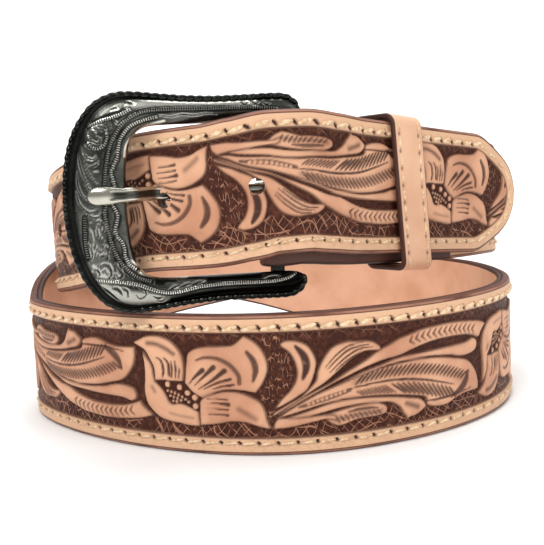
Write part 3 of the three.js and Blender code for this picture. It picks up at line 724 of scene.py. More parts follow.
def monotone(xs: Array, ys: Array) -> Callable[[Array], Array]:
    """Monotone cubic through points: never leaves the range of two neighbours.

    Args:
        xs: Rising positions.
        ys: Values there.

    Returns:
        The curve as a function.
    """
    slopes = np.diff(ys) / np.diff(xs)
    product = slopes[:-1] * slopes[1:]
    total = np.where(slopes[:-1] + slopes[1:] == 0, 1, slopes[:-1] + slopes[1:])
    tangents = np.concatenate([[slopes[0]], np.where(product > 0, 2 * product / total, 0), [slopes[-1]]])

    def curve(x: Array) -> Array:
        """Value of the curve at x."""
        i = np.clip(np.searchsorted(xs, x) - 1, 0, len(xs) - 2)
        width = xs[i + 1] - xs[i]
        t = np.clip((x - xs[i]) / width, 0, 1)
        return (
            (1 + 2 * t) * (1 - t) ** 2 * ys[i]
            + t * (1 - t) ** 2 * width * tangents[i]
            + t * t * (3 - 2 * t) * ys[i + 1]
            + t * t * (t - 1) * width * tangents[i + 1]
        )

    return curve


@dataclass
class Station:
    """Frames of the strap at some distances: one row of each array for each distance."""

    centre: Array
    tangent: Array
    normal: Array
    across: Array
    thickness: Array

    def place(self, out: Array, across: Array, along: float = 0.0) -> Array:
        """Points out of the face and across the strap, one row for each station."""
        out, across = np.asarray(out, float), np.asarray(across, float)
        extra = (1,) * (max(out.ndim, across.ndim) - 1)
        shape = (len(self.centre), *extra, 3)
        return (
            self.centre.reshape(shape)
            + self.tangent.reshape(shape) * along
            + self.normal.reshape(shape) * out[..., None]
            + self.across.reshape(shape) * across[..., None]
        )


class Strand:
    """Path of a strap in plan, with the height of its lower edge and its thickness."""

    samples = 48

    def __init__(self, knots: Sequence[Sequence[float]], width: float) -> None:
        """Lays the path through its knots.

        Args:
            knots: Rows of x, y, height of the lower edge and thickness.
            width: Width of the strap.
        """
        rows = np.asarray(knots, float)
        plan = rows[:, :2]
        parts = []
        for before, here, there, after in spans(plan):
            first, middle, last = (
                float(np.sum((b - a) ** 2)) ** 0.25
                for a, b in ((before, here), (here, there), (there, after))
            )
            leave = (here - before) / first - (there - before) / (first + middle) + (there - here) / middle
            arrive = (there - here) / middle - (after - here) / (middle + last) + (after - there) / last
            parts.append(cubic(here, there, leave * middle, arrive * middle, self.samples))
        self.width = width
        self.plan = np.vstack([*parts, plan[-1:]])
        self.arc = arc_of(self.plan)
        self.knots = self.arc[:: self.samples]
        self.length = float(self.arc[-1])
        self.edge = monotone(self.knots, rows[:, 2])
        self.thickness = monotone(self.knots, rows[:, 3])

    def at(self, distances: Array) -> Station:
        """Frames of the strap at distances along its plan."""
        s = np.clip(np.atleast_1d(np.asarray(distances, float)), 0, self.length)
        before, after = np.clip(s - 0.5, 0, self.length), np.clip(s + 0.5, 0, self.length)
        spot, back, ahead = (read_off(self.plan, self.arc, place) for place in (s, before, after))
        heading = unit(ahead - back)
        slope = (self.edge(after) - self.edge(before)) / (after - before)
        tangent = unit(np.column_stack([heading, slope]))
        normal = np.column_stack([heading[:, 1], -heading[:, 0], np.zeros(len(s))])
        across = np.cross(normal, tangent)
        centre = np.column_stack([spot, self.edge(s) + self.width / 2 * across[:, 2]])
        return Station(centre, tangent, normal, across, self.thickness(s))


@dataclass
class BeltPath:
    """Where the strap, the bar and what hangs on them lie, in the frame's own coordinates."""

    width: float = 38.1
    thickness: float = 4.2
    fold_thickness: float = 2.6
    fold_length: float = 64.0
    layer_gap: float = 0.4
    bar_radius: float = 2.0
    bar_clearance: float = 0.3
    coil_width: float = 160.0
    coil_depth: float = 150.0
    rest_gap: float = 0.9
    toe_arm: float = 8.9
    window_clearance: float = 1.35
    drop_at_bar: float = 3.8
    drop_past_fold: float = 2.6
    first_hole: float = 107.0
    hole_pitch: float = 25.4
    prong_reach: float = 32.4
    prong_above_middle: float = 2.4

    def __post_init__(self) -> None:
        """Works the path out."""
        self.lift = self.width + self.rest_gap + self.toe_arm + self.window_clearance
        tip_knots = self._knots(TIP_STRAND)
        self.tip = Strand(tip_knots, self.width)
        self.bar_from_tip = self.first_hole + self.hole_pitch - self.prong_reach
        under_inset = self.thickness + self.layer_gap
        fold_radius = self.fold_thickness / 2 + self.bar_clearance + self.bar_radius
        bar_inset = under_inset + fold_radius
        self.flap_inset = under_inset + self.thickness / 2 + self.layer_gap + self.fold_thickness / 2
        bar = self._under(0, bar_inset, self.fold_thickness)
        span = bar_inset + fold_radius - self.flap_inset
        flap = [self._under(share * self.fold_length, self.flap_inset + extra * span, self.fold_thickness)
                for share, extra in FLAP]
        normal = self.beside_bar(0).normal[0]
        wrap = []
        for angle in np.radians((30, 60, 90, 120, 150)):
            x = bar[0] - fold_radius * (math.cos(angle) * normal[0] - math.sin(angle) * normal[1])
            y = bar[1] - fold_radius * (math.cos(angle) * normal[1] + math.sin(angle) * normal[0])
            wrap.append((x, y, bar[2], self.fold_thickness))
        body = self.thickness - self.fold_thickness
        under = [self._under(share * self.fold_length, under_inset, self.fold_thickness + full * body)
                 for share, full in UNDER]
        self.strap = Strand([*flap, *wrap, *under, *self._knots(TURNS), *tip_knots], self.width)
        self.fold_start = float(self.strap.knots[len(flap) - 1])
        self.fold_end = float(self.strap.knots[len(flap) + len(wrap)])
        self.bar_centre = np.array([bar[0], bar[1], bar[2] + self.width / 2])
        shift = self._shift()
        for strand in (self.tip, self.strap):
            strand.plan = strand.plan + shift
        self.bar_centre[:2] += shift
        self.prong_level = self.bar_centre[2] + self.prong_above_middle

    def _knots(self, table: Sequence[Sequence[float]]) -> list[tuple[float, float, float, float]]:
        """Knots from a table of shares."""
        half_width, half_depth = self.coil_width / 2, self.coil_depth / 2
        return [(x * half_width, y * half_depth, edge * self.lift, self.thickness) for x, y, edge in table]

    def _under(self, distance: float, inset: float, thickness: float) -> tuple[float, float, float, float]:
        """Knot of a layer under the tip strand."""
        frame = self.beside_bar(distance)
        centre, normal, across = frame.centre[0], frame.normal[0], frame.across[0]
        edge = centre[2] - self.width / 2 * across[2] - self.drop(distance)
        return (centre[0] - normal[0] * inset, centre[1] - normal[1] * inset, edge, thickness)

    def _shift(self) -> Array:
        """Move in plan that puts the path in the middle of the frame's strap."""
        frames = self.strap.at(np.linspace(0, self.strap.length, 1200))
        half, middle = frames.thickness / 2, 0 * frames.thickness
        faces = np.vstack([frames.place(out, middle) for out in (-half, half)])
        own = (faces.min(0) + faces.max(0))[:2] / 2
        low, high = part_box("strap")
        return np.array([(low[k] + high[k]) / 2 / MM for k in (0, 1)]) - own

    def drop(self, distance: float) -> float:
        """How much lower than the tip strand the layers under it lie."""
        return self.drop_at_bar + (self.drop_past_fold - self.drop_at_bar) * distance / self.fold_length

    def beside_bar(self, distance: float) -> Station:
        """Frame on the tip strand at a distance from the heel bar, towards the tip."""
        return self.tip.at(np.array([self.tip.length - self.bar_from_tip + distance]))

    def holes(self, count: int) -> list[float]:
        """Distances along the strap of its holes, from the tip."""
        return [self.strap.length - self.first_hole - k * self.hole_pitch for k in range(count)]


def put(name: str, data: bpy.types.ID) -> Object:
    """New object in the scene with the given data."""
    obj = bpy.data.objects.new(name, data)
    bpy.context.scene.collection.objects.link(obj)
    return obj


def make_object(
    name: str, points: Array, faces: Sequence[Sequence[int]], material: Material, smooth: bool = True
) -> Object:
    """Mesh object in metres from points in millimetres.

    Args:
        name: Name of the piece.
        points: Points, one row each.
        faces: Corners of each face.
        material: Finish of the piece.
        smooth: Whether the faces are shaded smooth.

    Returns:
        The object, linked to the scene.
    """
    mesh = bpy.data.meshes.new(name)
    mesh.from_pydata((np.asarray(points).reshape(-1, 3) * MM).tolist(), [], faces)
    mesh.materials.append(material)
    mesh.polygons.foreach_set("use_smooth", [smooth] * len(mesh.polygons))
    mesh.update()
    return put(name, mesh)


def add_uv(obj: Object, u: Array, v: Array) -> None:
    """Gives an object a UV map from two numbers at each point, in metres."""
    uv = np.column_stack([np.ravel(u), np.ravel(v)]) * MM
    corners = np.zeros(len(obj.data.loops), np.int32)
    obj.data.loops.foreach_get("vertex_index", corners)
    layer = obj.data.uv_layers.new(name="surface")
    layer.data.foreach_set("uv", uv[corners].astype(np.float32).ravel())


def tube_faces(rings: int, count: int, looped: bool = False) -> list[list[int]]:
    """Faces of a body lofted through rings of equal count, capped unless it is a loop."""
    i, j = np.meshgrid(np.arange(rings if looped else rings - 1), np.arange(count), indexing="ij")
    here, there = i * count, ((i + 1) % rings) * count
    k = (j + 1) % count
    quads = np.stack([here + j, there + j, there + k, here + k], -1).reshape(-1, 4)
    faces = quads.tolist()
    if not looped:
        faces.append(list(range(count)))
        faces.append([(rings - 1) * count + k for k in reversed(range(count))])
    return faces


def face_outwards(obj: Object) -> None:
    """Turns a closed body right side out."""
    body = bmesh.new()
    body.from_mesh(obj.data)
    if body.calc_volume(signed=True) < 0:
        bmesh.ops.reverse_faces(body, faces=body.faces)
    body.to_mesh(obj.data)
    body.free()
    obj.data.update()


def make_body(
    name: str, points: Array, material: Material, looped: bool = False, **layers: Array | float
) -> Object:
    """Closed body lofted through rings of points, right side out.

    Args:
        name: Name of the piece.
        points: Rings of points in millimetres, each ring with the same count.
        material: Finish of the piece.
        looped: Whether the last ring joins the first one, instead of two caps.
        layers: Numbers at each point that the finish reads.

    Returns:
        The body, linked to the scene.
    """
    shape = points.shape[:2]
    obj = make_object(name, points, tube_faces(*shape, looped), material)
    for label, values in layers.items():
        layer = obj.data.attributes.new(label, "FLOAT", "POINT")
        layer.data.foreach_set("value", np.broadcast_to(values, shape).astype(np.float32).ravel())
    face_outwards(obj)
    return obj


def modified_mesh(obj: Object) -> bpy.types.Mesh:
    """New mesh of an object as its modifiers leave it."""
    graph = bpy.context.evaluated_depsgraph_get()
    return bpy.data.meshes.new_from_object(obj.evaluated_get(graph))


def cut(obj: Object, cutter: Object) -> None:
    """Cuts one closed body out of another and removes the cutter."""
    modifier = obj.modifiers.new("Cut", "BOOLEAN")
    modifier.operation = "DIFFERENCE"
    modifier.solver = "MANIFOLD"
    modifier.object = cutter
    mesh = modified_mesh(obj)
    obj.modifiers.clear()
    old = obj.data
    obj.data = mesh
    mesh.name = obj.name
    bpy.data.meshes.remove(old)
    bpy.data.objects.remove(cutter)


def finish_piece(obj: Object, slot: str, *nodes: str) -> Object:
    """Lets a piece ride on the belt, hides the frame's parts that it stands for, and logs its face count."""
    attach(obj, ROOT)
    if nodes:
        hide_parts(*nodes)
    LOG.info("%s: %d faces", obj.name, len(obj.data.polygons))
    return obj


def feed(tree: Tree, source: object, target: Socket) -> None:
    """Puts a socket or a plain value on a socket; a colour gets its full cover."""
    if isinstance(source, Socket):
        tree.links.new(source, target)
    elif target.type == "RGBA" and len(source) == 3:
        target.default_value = (*source, 1.0)
    else:
        target.default_value = source


def add_node(tree: Tree, kind: str, output: str | int, inputs: Inputs, **settings: object) -> Socket:
    """Adds a node to a tree.

    Args:
        tree: The tree.
        kind: Type of the node.
        output: Output that is wanted.
        inputs: What goes on its inputs, by their names or places.
        settings: Its own settings, made before its inputs are filled.

    Returns:
        The output.
    """
    node = tree.nodes.new(kind)
    for name, value in settings.items():
        setattr(node, name, value)
    for name, source in inputs.items():
        feed(tree, source, node.inputs[name])
    return node.outputs[output]


class Shader:
    """Node tree of one finish, with short calls for the nodes that it needs."""

    def __init__(self, name: str) -> None:
        """Starts an empty material."""
        self.material = bpy.data.materials.new(name)
        self.material.use_nodes = True
        self.tree = self.material.node_tree
        self.surface = self.tree.nodes["Principled BSDF"]
        coordinates = self.tree.nodes.new("ShaderNodeTexCoord")
        self.place = coordinates.outputs["Object"]
        self.uv = coordinates.outputs["UV"]

    def set(self, **values: object) -> None:
        """Sets inputs of the surface shader, with _ for a blank in their names."""
        for name, value in values.items():
            feed(self.tree, value, self.surface.inputs[name.replace("_", " ")])

    def node(self, kind: str, output: str | int, inputs: Inputs, **settings: object) -> Socket:
        """Adds a node to the finish and gives back one output."""
        return add_node(self.tree, "ShaderNode" + kind, output, inputs, **settings)

    def attribute(self, name: str) -> Socket:
        """Number stored at each point of the piece."""
        return self.node("Attribute", "Fac", {}, attribute_name=name)

    def noise(self, scale: float, detail: float = 3.0) -> Socket:
        """Cloudy pattern; scale is in features per metre."""
        return self.node("TexNoise", "Fac", {"Scale": scale, "Detail": detail, "Vector": self.place})

    def cells(self, scale: float, feature: str = "F1", coordinates: Socket | None = None) -> Socket:
        """Distance pattern of scattered cells; scale is in cells per metre."""
        inputs = {"Scale": scale, "Vector": coordinates or self.place}
        return self.node("TexVoronoi", "Distance", inputs, feature=feature)

    def turned(self, degrees: float, squash: float = 1.0) -> Socket:
        """Surface coordinates turned by an angle and squashed along their second axis."""
        turn = (0, 0, math.radians(degrees))
        return self.node("Mapping", "Vector", {"Rotation": turn, "Scale": (1, squash, 1), "Vector": self.uv})

    def lines(self, scale: float, coordinates: Socket, wobble: float) -> Socket:
        """Wavy bands across the first axis; scale is in bands per metre."""
        inputs = {"Scale": scale * math.pi / 10, "Distortion": wobble, "Detail": 1.0, "Detail Scale": 0.6,
                  "Vector": coordinates}
        return self.node("TexWave", "Fac", inputs)

    def ramp(self, value: Socket, low: float, high: float) -> Socket:
        """Smooth rise of a value from 0 at low to 1 at high, or the fall if low is above."""
        start, end = (1.0, 0.0) if low > high else (0.0, 1.0)
        inputs = {"From Min": min(low, high), "From Max": max(low, high), "To Min": start, "To Max": end,
                  "Value": value}
        return self.node("MapRange", "Result", inputs, interpolation_type="SMOOTHSTEP")

    def math(self, operation: str, first: object, second: object = 0.0) -> Socket:
        """Arithmetic on two values."""
        return self.node("Math", 0, {0: first, 1: second}, operation=operation)

    def times(self, first: object, second: object) -> Socket:
        """Product of two values."""
        return self.math("MULTIPLY", first, second)

    def mix(self, share: object, first: object, second: object) -> Socket:
        """Blend from one colour to another."""
        return self.node("Mix", 2, {"Factor": share, 6: first, 7: second}, data_type="RGBA")

    def bump(self, *heights: tuple[Socket, float]) -> None:
        """Puts fine relief on the surface: each height with its depth in metres."""
        below = {}
        for height, depth in heights:
            below = {"Normal": self.node("Bump", "Normal", {"Distance": depth, "Height": height, **below})}
        self.set(**below)


@dataclass(frozen=True)
class TooledLeather:
    """Finish of the strap's face: natural tan, antiqued cuts, dyed ground, burnished rim, with painted shade
    beside raised shapes and a painted highlight along the rim's crown.
    """

    tan: Colour = srgb(218, 166, 132)
    tan_deep: Colour = srgb(188, 132, 101)
    border: Colour = srgb(218, 175, 140)
    # Colour of the antique finish, also given to the painted shade beside raised shapes.
    antique: Colour = srgb(62, 28, 17)
    dye: Colour = srgb(60, 29, 19)
    dye_light: Colour = srgb(90, 49, 34)
    scratch: Colour = srgb(186, 134, 108)
    rim: Colour = srgb(96, 56, 42)
    # Colour of the painted highlight along the crown of the rounded rim.
    rim_highlight: Colour = srgb(158, 112, 90)
    rim_width: float = 1.05
    border_width: float = 4.85

    def material(self) -> Material:
        """Builds the finish."""
        web = Shader("tooled_leather")
        edge = web.attribute("edge")
        dye, tone, mark = web.attribute("dye"), web.attribute("tone"), web.attribute("mark")
        cloud = web.noise(55, 4)
        fine = web.noise(650, 3)
        tan = web.mix(web.ramp(cloud, 0.35, 0.7), self.tan, self.tan_deep)
        tan = web.mix(web.ramp(edge, self.border_width, self.border_width - 0.3), tan, self.border)
        ground = web.mix(web.ramp(fine, 0.4, 0.75), self.dye, self.dye_light)
        crossed = [
            web.ramp(web.lines(scale, web.turned(angle), wobble), 0.965, 0.995)
            for scale, angle, wobble in ((520, 38, 10.0), (430, -42, 13.0), (300, -70, 16.0))
        ]
        hatched = web.math("MAXIMUM", crossed[2], web.math("MAXIMUM", crossed[0], crossed[1]))
        hatched = web.times(hatched, web.ramp(web.noise(260, 2), 0.38, 0.5))
        netted = web.ramp(web.cells(900, "DISTANCE_TO_EDGE", web.turned(35, 0.4)), 0.07, 0.02)
        netted = web.times(netted, web.ramp(web.noise(560, 3), 0.45, 0.58))
        netted = web.times(netted, mark)
        hatched = web.times(hatched, web.attribute("hatch"))
        scratched = web.times(web.math("MAXIMUM", hatched, netted), 0.76)
        ground = web.mix(scratched, ground, self.scratch)
        colour = web.mix(dye, tan, ground)
        # Antique finish in the cuts together with the painted shade beside raised shapes, patchy by noise.
        antique_and_shade = web.times(tone, web.ramp(web.noise(380, 3), -0.3, 0.45))
        colour = web.mix(antique_and_shade, colour, self.antique)
        # Painted highlight: a lighter band along the crown of the rounded rim, made patchy by noise.
        rim_crown_highlight = web.times(web.ramp(edge, 0.25, 0.45), web.ramp(edge, 0.95, 0.75))
        rim = web.mix(web.times(rim_crown_highlight, web.ramp(cloud, 0.3, 0.55)), self.rim, self.rim_highlight)
        colour = web.mix(web.ramp(edge, self.rim_width + 0.2, self.rim_width), colour, rim)
        rough = web.node("MapRange", "Result", {"Value": fine, "To Min": 0.42, "To Max": 0.62})
        shine = web.math("SUBTRACT", 0.34, web.times(dye, 0.2))
        web.set(Base_Color=colour, Roughness=rough, Specular_IOR_Level=shine)
        grain = web.cells(2400)
        pebble = web.times(web.cells(1300), dye)
        web.bump((grain, 0.00006), (web.noise(2100, 3), 0.00006), (pebble, 0.00028), (scratched, 0.00012))
        return web.material


@dataclass(frozen=True)
class PlainLeather:
    """Finish of smooth leather, with a darker edge: burnished leather, darkened further as painted shade."""

    name: str
    body: Colour
    deep: Colour
    edge: Colour
    edge_reach: float

    def material(self) -> Material:
        """Builds the finish."""
        web = Shader(self.name)
        colour = web.mix(web.ramp(web.noise(70, 4), 0.35, 0.75), self.body, self.deep)
        pores = web.times(web.ramp(web.noise(1500, 2), 0.6, 0.85), 0.12)
        # Darker edge: burnished leather with painted shade where the edge lies in shadow.
        rim = web.ramp(web.attribute("edge"), self.edge_reach, 0.5 * self.edge_reach)
        for share in (pores, rim, web.attribute("tone")):
            colour = web.mix(share, colour, self.edge)
        web.set(Base_Color=colour, Roughness=0.55, Specular_IOR_Level=0.4)
        web.bump((web.cells(2600), 0.00004), (web.noise(1800, 3), 0.00006))
        return web.material


@dataclass(frozen=True)
class Thread:
    """Finish of waxed stitching thread."""

    name: str = "thread"
    light: Colour = srgb(232, 206, 170)
    dark: Colour = srgb(196, 154, 114)

    def material(self) -> Material:
        """Builds the finish."""
        web = Shader(self.name)
        colour = web.mix(web.ramp(web.noise(900, 3), 0.35, 0.7), self.light, self.dark)
        web.set(Base_Color=colour, Roughness=0.5)
        web.bump((web.noise(3500, 2), 0.00008))
        return web.material


class Wear(Enum):
    """How a metal piece is finished."""

    ENGRAVED = "engraved"
    BLACKENED = "blackened"
    POLISHED = "polished"


@dataclass(frozen=True)
class AntiqueSilver:
    """Finish of oxidised silver: dark in its cuts; on the frame, bright under painted highlights and black
    under painted shade.
    """

    name: str
    wear: Wear
    bright: Colour = srgb(228, 226, 216)
    polish: Colour = srgb(196, 192, 178)
    grey: Colour = srgb(94, 95, 89)
    deep: Colour = srgb(52, 54, 50)
    black: Colour = srgb(14, 15, 14)
    tick_pitch: float = 0.62

    def material(self) -> Material:
        """Builds the finish."""
        web = Shader(self.name)
        web.set(Metallic=1.0)
        cloud = web.ramp(web.noise(180, 4), 0.3, 0.75)
        if self.wear is Wear.BLACKENED:
            web.set(Base_Color=web.mix(web.times(cloud, 0.7), self.deep, self.black), Roughness=0.2)
            return web.material
        tone = web.attribute("tone")
        if self.wear is Wear.POLISHED:
            base = web.mix(web.times(cloud, 0.3), self.polish, self.grey)
            web.set(Base_Color=web.mix(tone, base, self.black), Roughness=0.24)
            return web.material
        # The frame's bright and black patches are painted highlights and painted shade, laid with the
        # bright-cut bands.
        band, painted_light_and_bright_cut = web.attribute("band"), web.attribute("painted_light_and_bright_cut")
        base = web.mix(cloud, self.grey, self.deep)
        base = web.mix(web.ramp(painted_light_and_bright_cut, 0.0, 0.9), base, self.bright)
        base = web.mix(web.ramp(painted_light_and_bright_cut, 0.0, -0.9), base, self.black)
        turn = web.times(web.attribute("way"), 2 * math.pi / (self.tick_pitch * MM))
        ticks = web.ramp(web.math("SINE", turn), -0.5, 0.3)
        # Ticks take the bright colour under painted highlights.
        lit = web.mix(web.ramp(painted_light_and_bright_cut, 0.0, 0.8), self.grey, self.bright)
        base = web.mix(band, base, web.mix(ticks, self.black, lit))
        web.set(Base_Color=web.mix(tone, base, self.black), Roughness=0.26)
        web.bump((web.times(ticks, band), 0.00012), (web.noise(1500, 3), 0.00004))
        return web.material


@dataclass(frozen=True)
class Row:
    """Tree that repeats one rounded shape at the points of a line.

    Attributes:
        name: Name of the tree and of the piece.
        length: Length of the shape along the line.
        width: Its width across the line.
        height: Its height out of the surface.
        slant: Turn in the surface, in degrees.
        jitter: Random turn to either side, in degrees.
        seed: Seed of the random turn.
        sides: Sides of the shape.
    """

    name: str
    length: float
    width: float
    height: float
    slant: float = 0.0
    jitter: float = 0.0
    seed: int = 1
    sides: int = 8

    def tree(self, material: Material) -> Tree:
        """Builds the tree, with named inputs for its sizes."""
        tree = bpy.data.node_groups.new(self.name, "GeometryNodeTree")
        sockets = [("Geometry", side, "Geometry") for side in ("INPUT", "OUTPUT")]
        sockets += [(label, "INPUT", "Float") for label in ("Length", "Width", "Height", "Slant", "Jitter")]
        sockets.append(("Seed", "INPUT", "Int"))
        for label, side, kind in sockets:
            tree.interface.new_socket(label, in_out=side, socket_type="NodeSocket" + kind)
        given = tree.nodes.new("NodeGroupInput").outputs
        result = tree.nodes.new("NodeGroupOutput").inputs["Geometry"]

        def add(kind: str, output: str | int, inputs: Inputs, **settings: object) -> Socket:
            """Adds a node to this tree."""
            return add_node(tree, kind, output, inputs, **settings)

        def stored(label: str) -> Socket:
            """Direction stored at each point."""
            kind = "GeometryNodeInputNamedAttribute"
            return add(kind, "Attribute", {"Name": label}, data_type="FLOAT_VECTOR")

        shape = add("GeometryNodeMeshUVSphere", "Mesh", {"Segments": self.sides, "Rings": 6, "Radius": 0.5})
        align, jitter = "FunctionNodeAlignRotationToVector", given["Jitter"]
        along = add(align, 0, {"Vector": stored("heading")}, axis="X")
        upright = add(align, 0, {"Rotation": along, "Vector": stored("outward")}, axis="Z", pivot_axis="X")
        low = add("ShaderNodeMath", 0, {0: jitter, 1: -1.0}, operation="MULTIPLY")
        spread = {2: low, 3: jitter, "Seed": given["Seed"]}
        chance = add("FunctionNodeRandomValue", 1, spread, data_type="FLOAT")
        angle = add("ShaderNodeMath", 0, {0: given["Slant"], 1: chance}, operation="ADD")
        spin = add("FunctionNodeAxisAngleToRotation", 0, {"Axis": (0, 0, 1), "Angle": angle})
        turns = {"Rotation": upright, "Rotate By": spin}
        turn = add("FunctionNodeRotateRotation", 0, turns, rotation_space="LOCAL")
        size = add("ShaderNodeCombineXYZ", 0, {0: given["Length"], 1: given["Width"], 2: given["Height"]})
        placed = {"Points": given["Geometry"], "Instance": shape, "Rotation": turn, "Scale": size}
        copies = add("GeometryNodeInstanceOnPoints", 0, placed)
        smooth = add("GeometryNodeSetShadeSmooth", 0, {"Geometry": copies})
        solid = add("GeometryNodeRealizeInstances", 0, {"Geometry": smooth})
        tree.links.new(add("GeometryNodeSetMaterial", 0, {"Geometry": solid, "Material": material}), result)
        return tree

    def run(self, points: Array, heading: Array, outward: Array, material: Material) -> Object:
        """Repeats the shape at points.

        Args:
            points: Centres of the copies, in millimetres.
            heading: Direction of each copy's length.
            outward: Direction of each copy's height.
            material: Finish of the piece.

        Returns:
            The piece, a plain mesh.
        """
        mesh = bpy.data.meshes.new(self.name + "_points")
        mesh.from_pydata((points * MM).tolist(), [], [])
        for label, rows in (("heading", heading), ("outward", outward)):
            layer = mesh.attributes.new(label, "FLOAT_VECTOR", "POINT")
            layer.data.foreach_set("vector", np.asarray(rows, np.float32).ravel())
        source = put(self.name + "_points", mesh)
        tree = self.tree(material)
        modifier = source.modifiers.new("Row", "NODES")
        modifier.node_group = tree
        values = {"Length": self.length * MM, "Width": self.width * MM, "Height": self.height * MM,
                  "Slant": math.radians(self.slant), "Jitter": math.radians(self.jitter), "Seed": self.seed}
        for item in tree.interface.items_tree:
            if item.in_out == "INPUT" and item.name in values:
                modifier[item.identifier] = values[item.name]
        made = modified_mesh(source)
        made.name = self.name
        bpy.data.objects.remove(source)
        bpy.data.meshes.remove(mesh)
        for label in ("heading", "outward"):
            if label in made.attributes:
                made.attributes.remove(made.attributes[label])
        return put(self.name, made)


@dataclass
class TooledStrap:
    """The strap: a tooled face, a smooth lining, the plain fold round the bar and the stitches."""

    path: BeltPath
    tile: FloralTile = field(default_factory=FloralTile)
    taper: float = 22.0
    edge_round: float = 1.25
    face_depth: float = 2.5
    lining_round: float = 0.9
    plain_until: float = 140.0
    fine_step: float = 0.36
    back_step: float = 0.72
    hole_count: int = 7
    hole_diameter: float = 4.3
    stitch_pitch: float = 5.08
    stitch_inset: float = 3.5
    hole_turn: float = -52.0
    border: float = 4.85
    slot_height: float = 4.1
    slot_reach: float = 10.9
    tip_raise: float = 1.3
    tip_raised_over: tuple[float, float] = (900.0, 980.0)
    fold_rim: float = 2.2
    fold_margin: float = 12.0
    thread_lift: float = 0.12
    needle_depth: float = 0.7
    hatched_below: tuple[float, float] = (-7.5, -9.5)
    hatched_above: tuple[float, float] = (11.5, 13.0)

    # For the lower and the upper line of stitches: lead in pitches, half sizes of a needle hole.
    stitch_lead = {-1: 0.0, 1: 0.25}
    needle_holes = {-1: (0.85, 0.5), 1: (1.25, 0.55)}

    # Start of each repeat along the strap; every second one is turned over.
    repeats = (101.0, 205.0, 309.0, 413.0, 517.0, 621.0, 711.5, 802.0, 892.5, 983.0, 1084.0, 1188.0)

    # Stretches of the tooled face: name, start, end and whether it is seen from the front.
    stretches = (
        ("strap_face_right", 140.0, 300.0, False),
        ("strap_face_left", 300.0, 455.0, False),
        ("strap_face_front", 455.0, 690.0, True),
        ("strap_face_back", 690.0, 960.0, False),
        ("strap_face_tip", 960.0, math.inf, True),
    )

    def __post_init__(self) -> None:
        """Draws the tooling once for the whole strap."""
        self.strand = self.path.strap
        self.canvas = self.tile.draw()
        self.half = self.path.width / 2
        shares = smooth_path(TIP_OUTLINE, 8)
        self.taper_from_end = shares[:, 0] * self.taper
        self.taper_width = shares[:, 1] * self.half
        ends = self.strand.length - self.taper_from_end
        upper = np.column_stack([ends, self.taper_width])[::-1]
        lower = np.column_stack([ends, -self.taper_width])
        straight = ends[-1] - self.taper
        self.outline = np.vstack([(straight, self.half), upper, lower, (straight, -self.half)])

    def half_width(self, s: Array) -> Array:
        """Half width of the strap at distances along it."""
        return np.interp(self.strand.length - s, self.taper_from_end, self.taper_width)

    def edge_distance(self, s: Array, v: Array) -> Array:
        """Distance from places on the face to the strap's edge."""
        edge = self.half - np.abs(v)
        near = s > self.strand.length - 1.5 * self.taper
        if near.any():
            edge = edge.copy()
            edge[near] = path_distance(s[near], v[near], self.outline)[0]
        return np.maximum(edge, 0)

    def repeat_coordinates(self, s: Array, v: Array) -> tuple[Array, Array]:
        """Place of each spot of the strap on the drawing of one repeat."""
        starts = np.array(self.repeats)
        k = np.clip(np.searchsorted(starts, s, side="right") - 1, 0, len(starts) - 2)
        share = (s - starts[k]) / (starts[k + 1] - starts[k])
        raised = self.tip_raise * smoothstep(*self.tip_raised_over, s)
        return share * self.tile.length, (v - raised) * np.where(k % 2, -1.0, 1.0)

    def stitch_places(self, start: float, end: float, sign: int) -> Array:
        """Distances along the strap of the stitches of one line."""
        first = math.ceil(start / self.stitch_pitch)
        last = math.floor((end - self.taper) / self.stitch_pitch) + 1
        return (np.arange(first, last) + self.stitch_lead[sign]) * self.stitch_pitch

    def relief(self, s: Array, v: Array) -> dict[str, Array]:
        """Height and finish of the tooled face.

        Args:
            s: Distances along the strap.
            v: Distances across it.

        Returns:
            Height over the flat face, and the numbers that the finish reads.
        """
        x, y = self.repeat_coordinates(s, v)
        layers = self.canvas.samples(("height", "dye", "tone", "mark"), x, y)
        edge = self.edge_distance(s, v)
        band = smoothstep(self.border + 0.12, self.border - 0.12, edge)
        gap = np.abs(edge - self.border)
        cut_line = np.exp(-((gap / 0.3) ** 2))
        height = layers["height"] * (1 - band) - 0.25 * cut_line
        tone = np.maximum(layers["tone"] * (1 - band), 0.8 * cut_line)
        cosine, sine = math.cos(math.radians(self.hole_turn)), math.sin(math.radians(self.hole_turn))
        for sign, (half_length, half_width) in self.needle_holes.items():
            phase = (s / self.stitch_pitch - self.stitch_lead[sign]) % 1
            ahead = (phase - 0.5) * self.stitch_pitch
            aside = v - sign * (self.half - self.stitch_inset)
            along_hole = ahead * cosine + aside * sine
            across_hole = aside * cosine - ahead * sine
            hole = np.hypot(along_hole / half_length, across_hole / half_width)
            dimple = smoothstep(1.0, 0.55, hole) * (s < self.strand.length - self.taper)
            height = height - self.needle_depth * dimple
            tone = np.maximum(tone, 1.15 * dimple)
        near_edge = np.clip(self.edge_round - edge, 0, self.edge_round)
        height = height - (self.edge_round - np.sqrt(self.edge_round**2 - near_edge**2))
        hatch = smoothstep(*self.hatched_below, v) + 0.35 * smoothstep(*self.hatched_above, v)
        dye = layers["dye"] * (1 - band)
        return {**layers, "height": height, "dye": dye, "tone": tone, "hatch": hatch, "edge": edge}

    def columns(self) -> Array:
        """Places of the face's columns as shares of the half width, from -1 to 1."""
        rim = np.array([0.0, 0.06, 0.22, 0.5, 0.85, 1.25]) / self.half
        border = np.linspace(1.6, self.border - 0.3, 10) / self.half
        field_edge = self.border / self.half
        inner = np.linspace(0, 1 - field_edge, 41)
        side = np.concatenate([inner, 1 - border[::-1], 1 - rim[::-1]])
        return np.concatenate([-side[:0:-1], side])

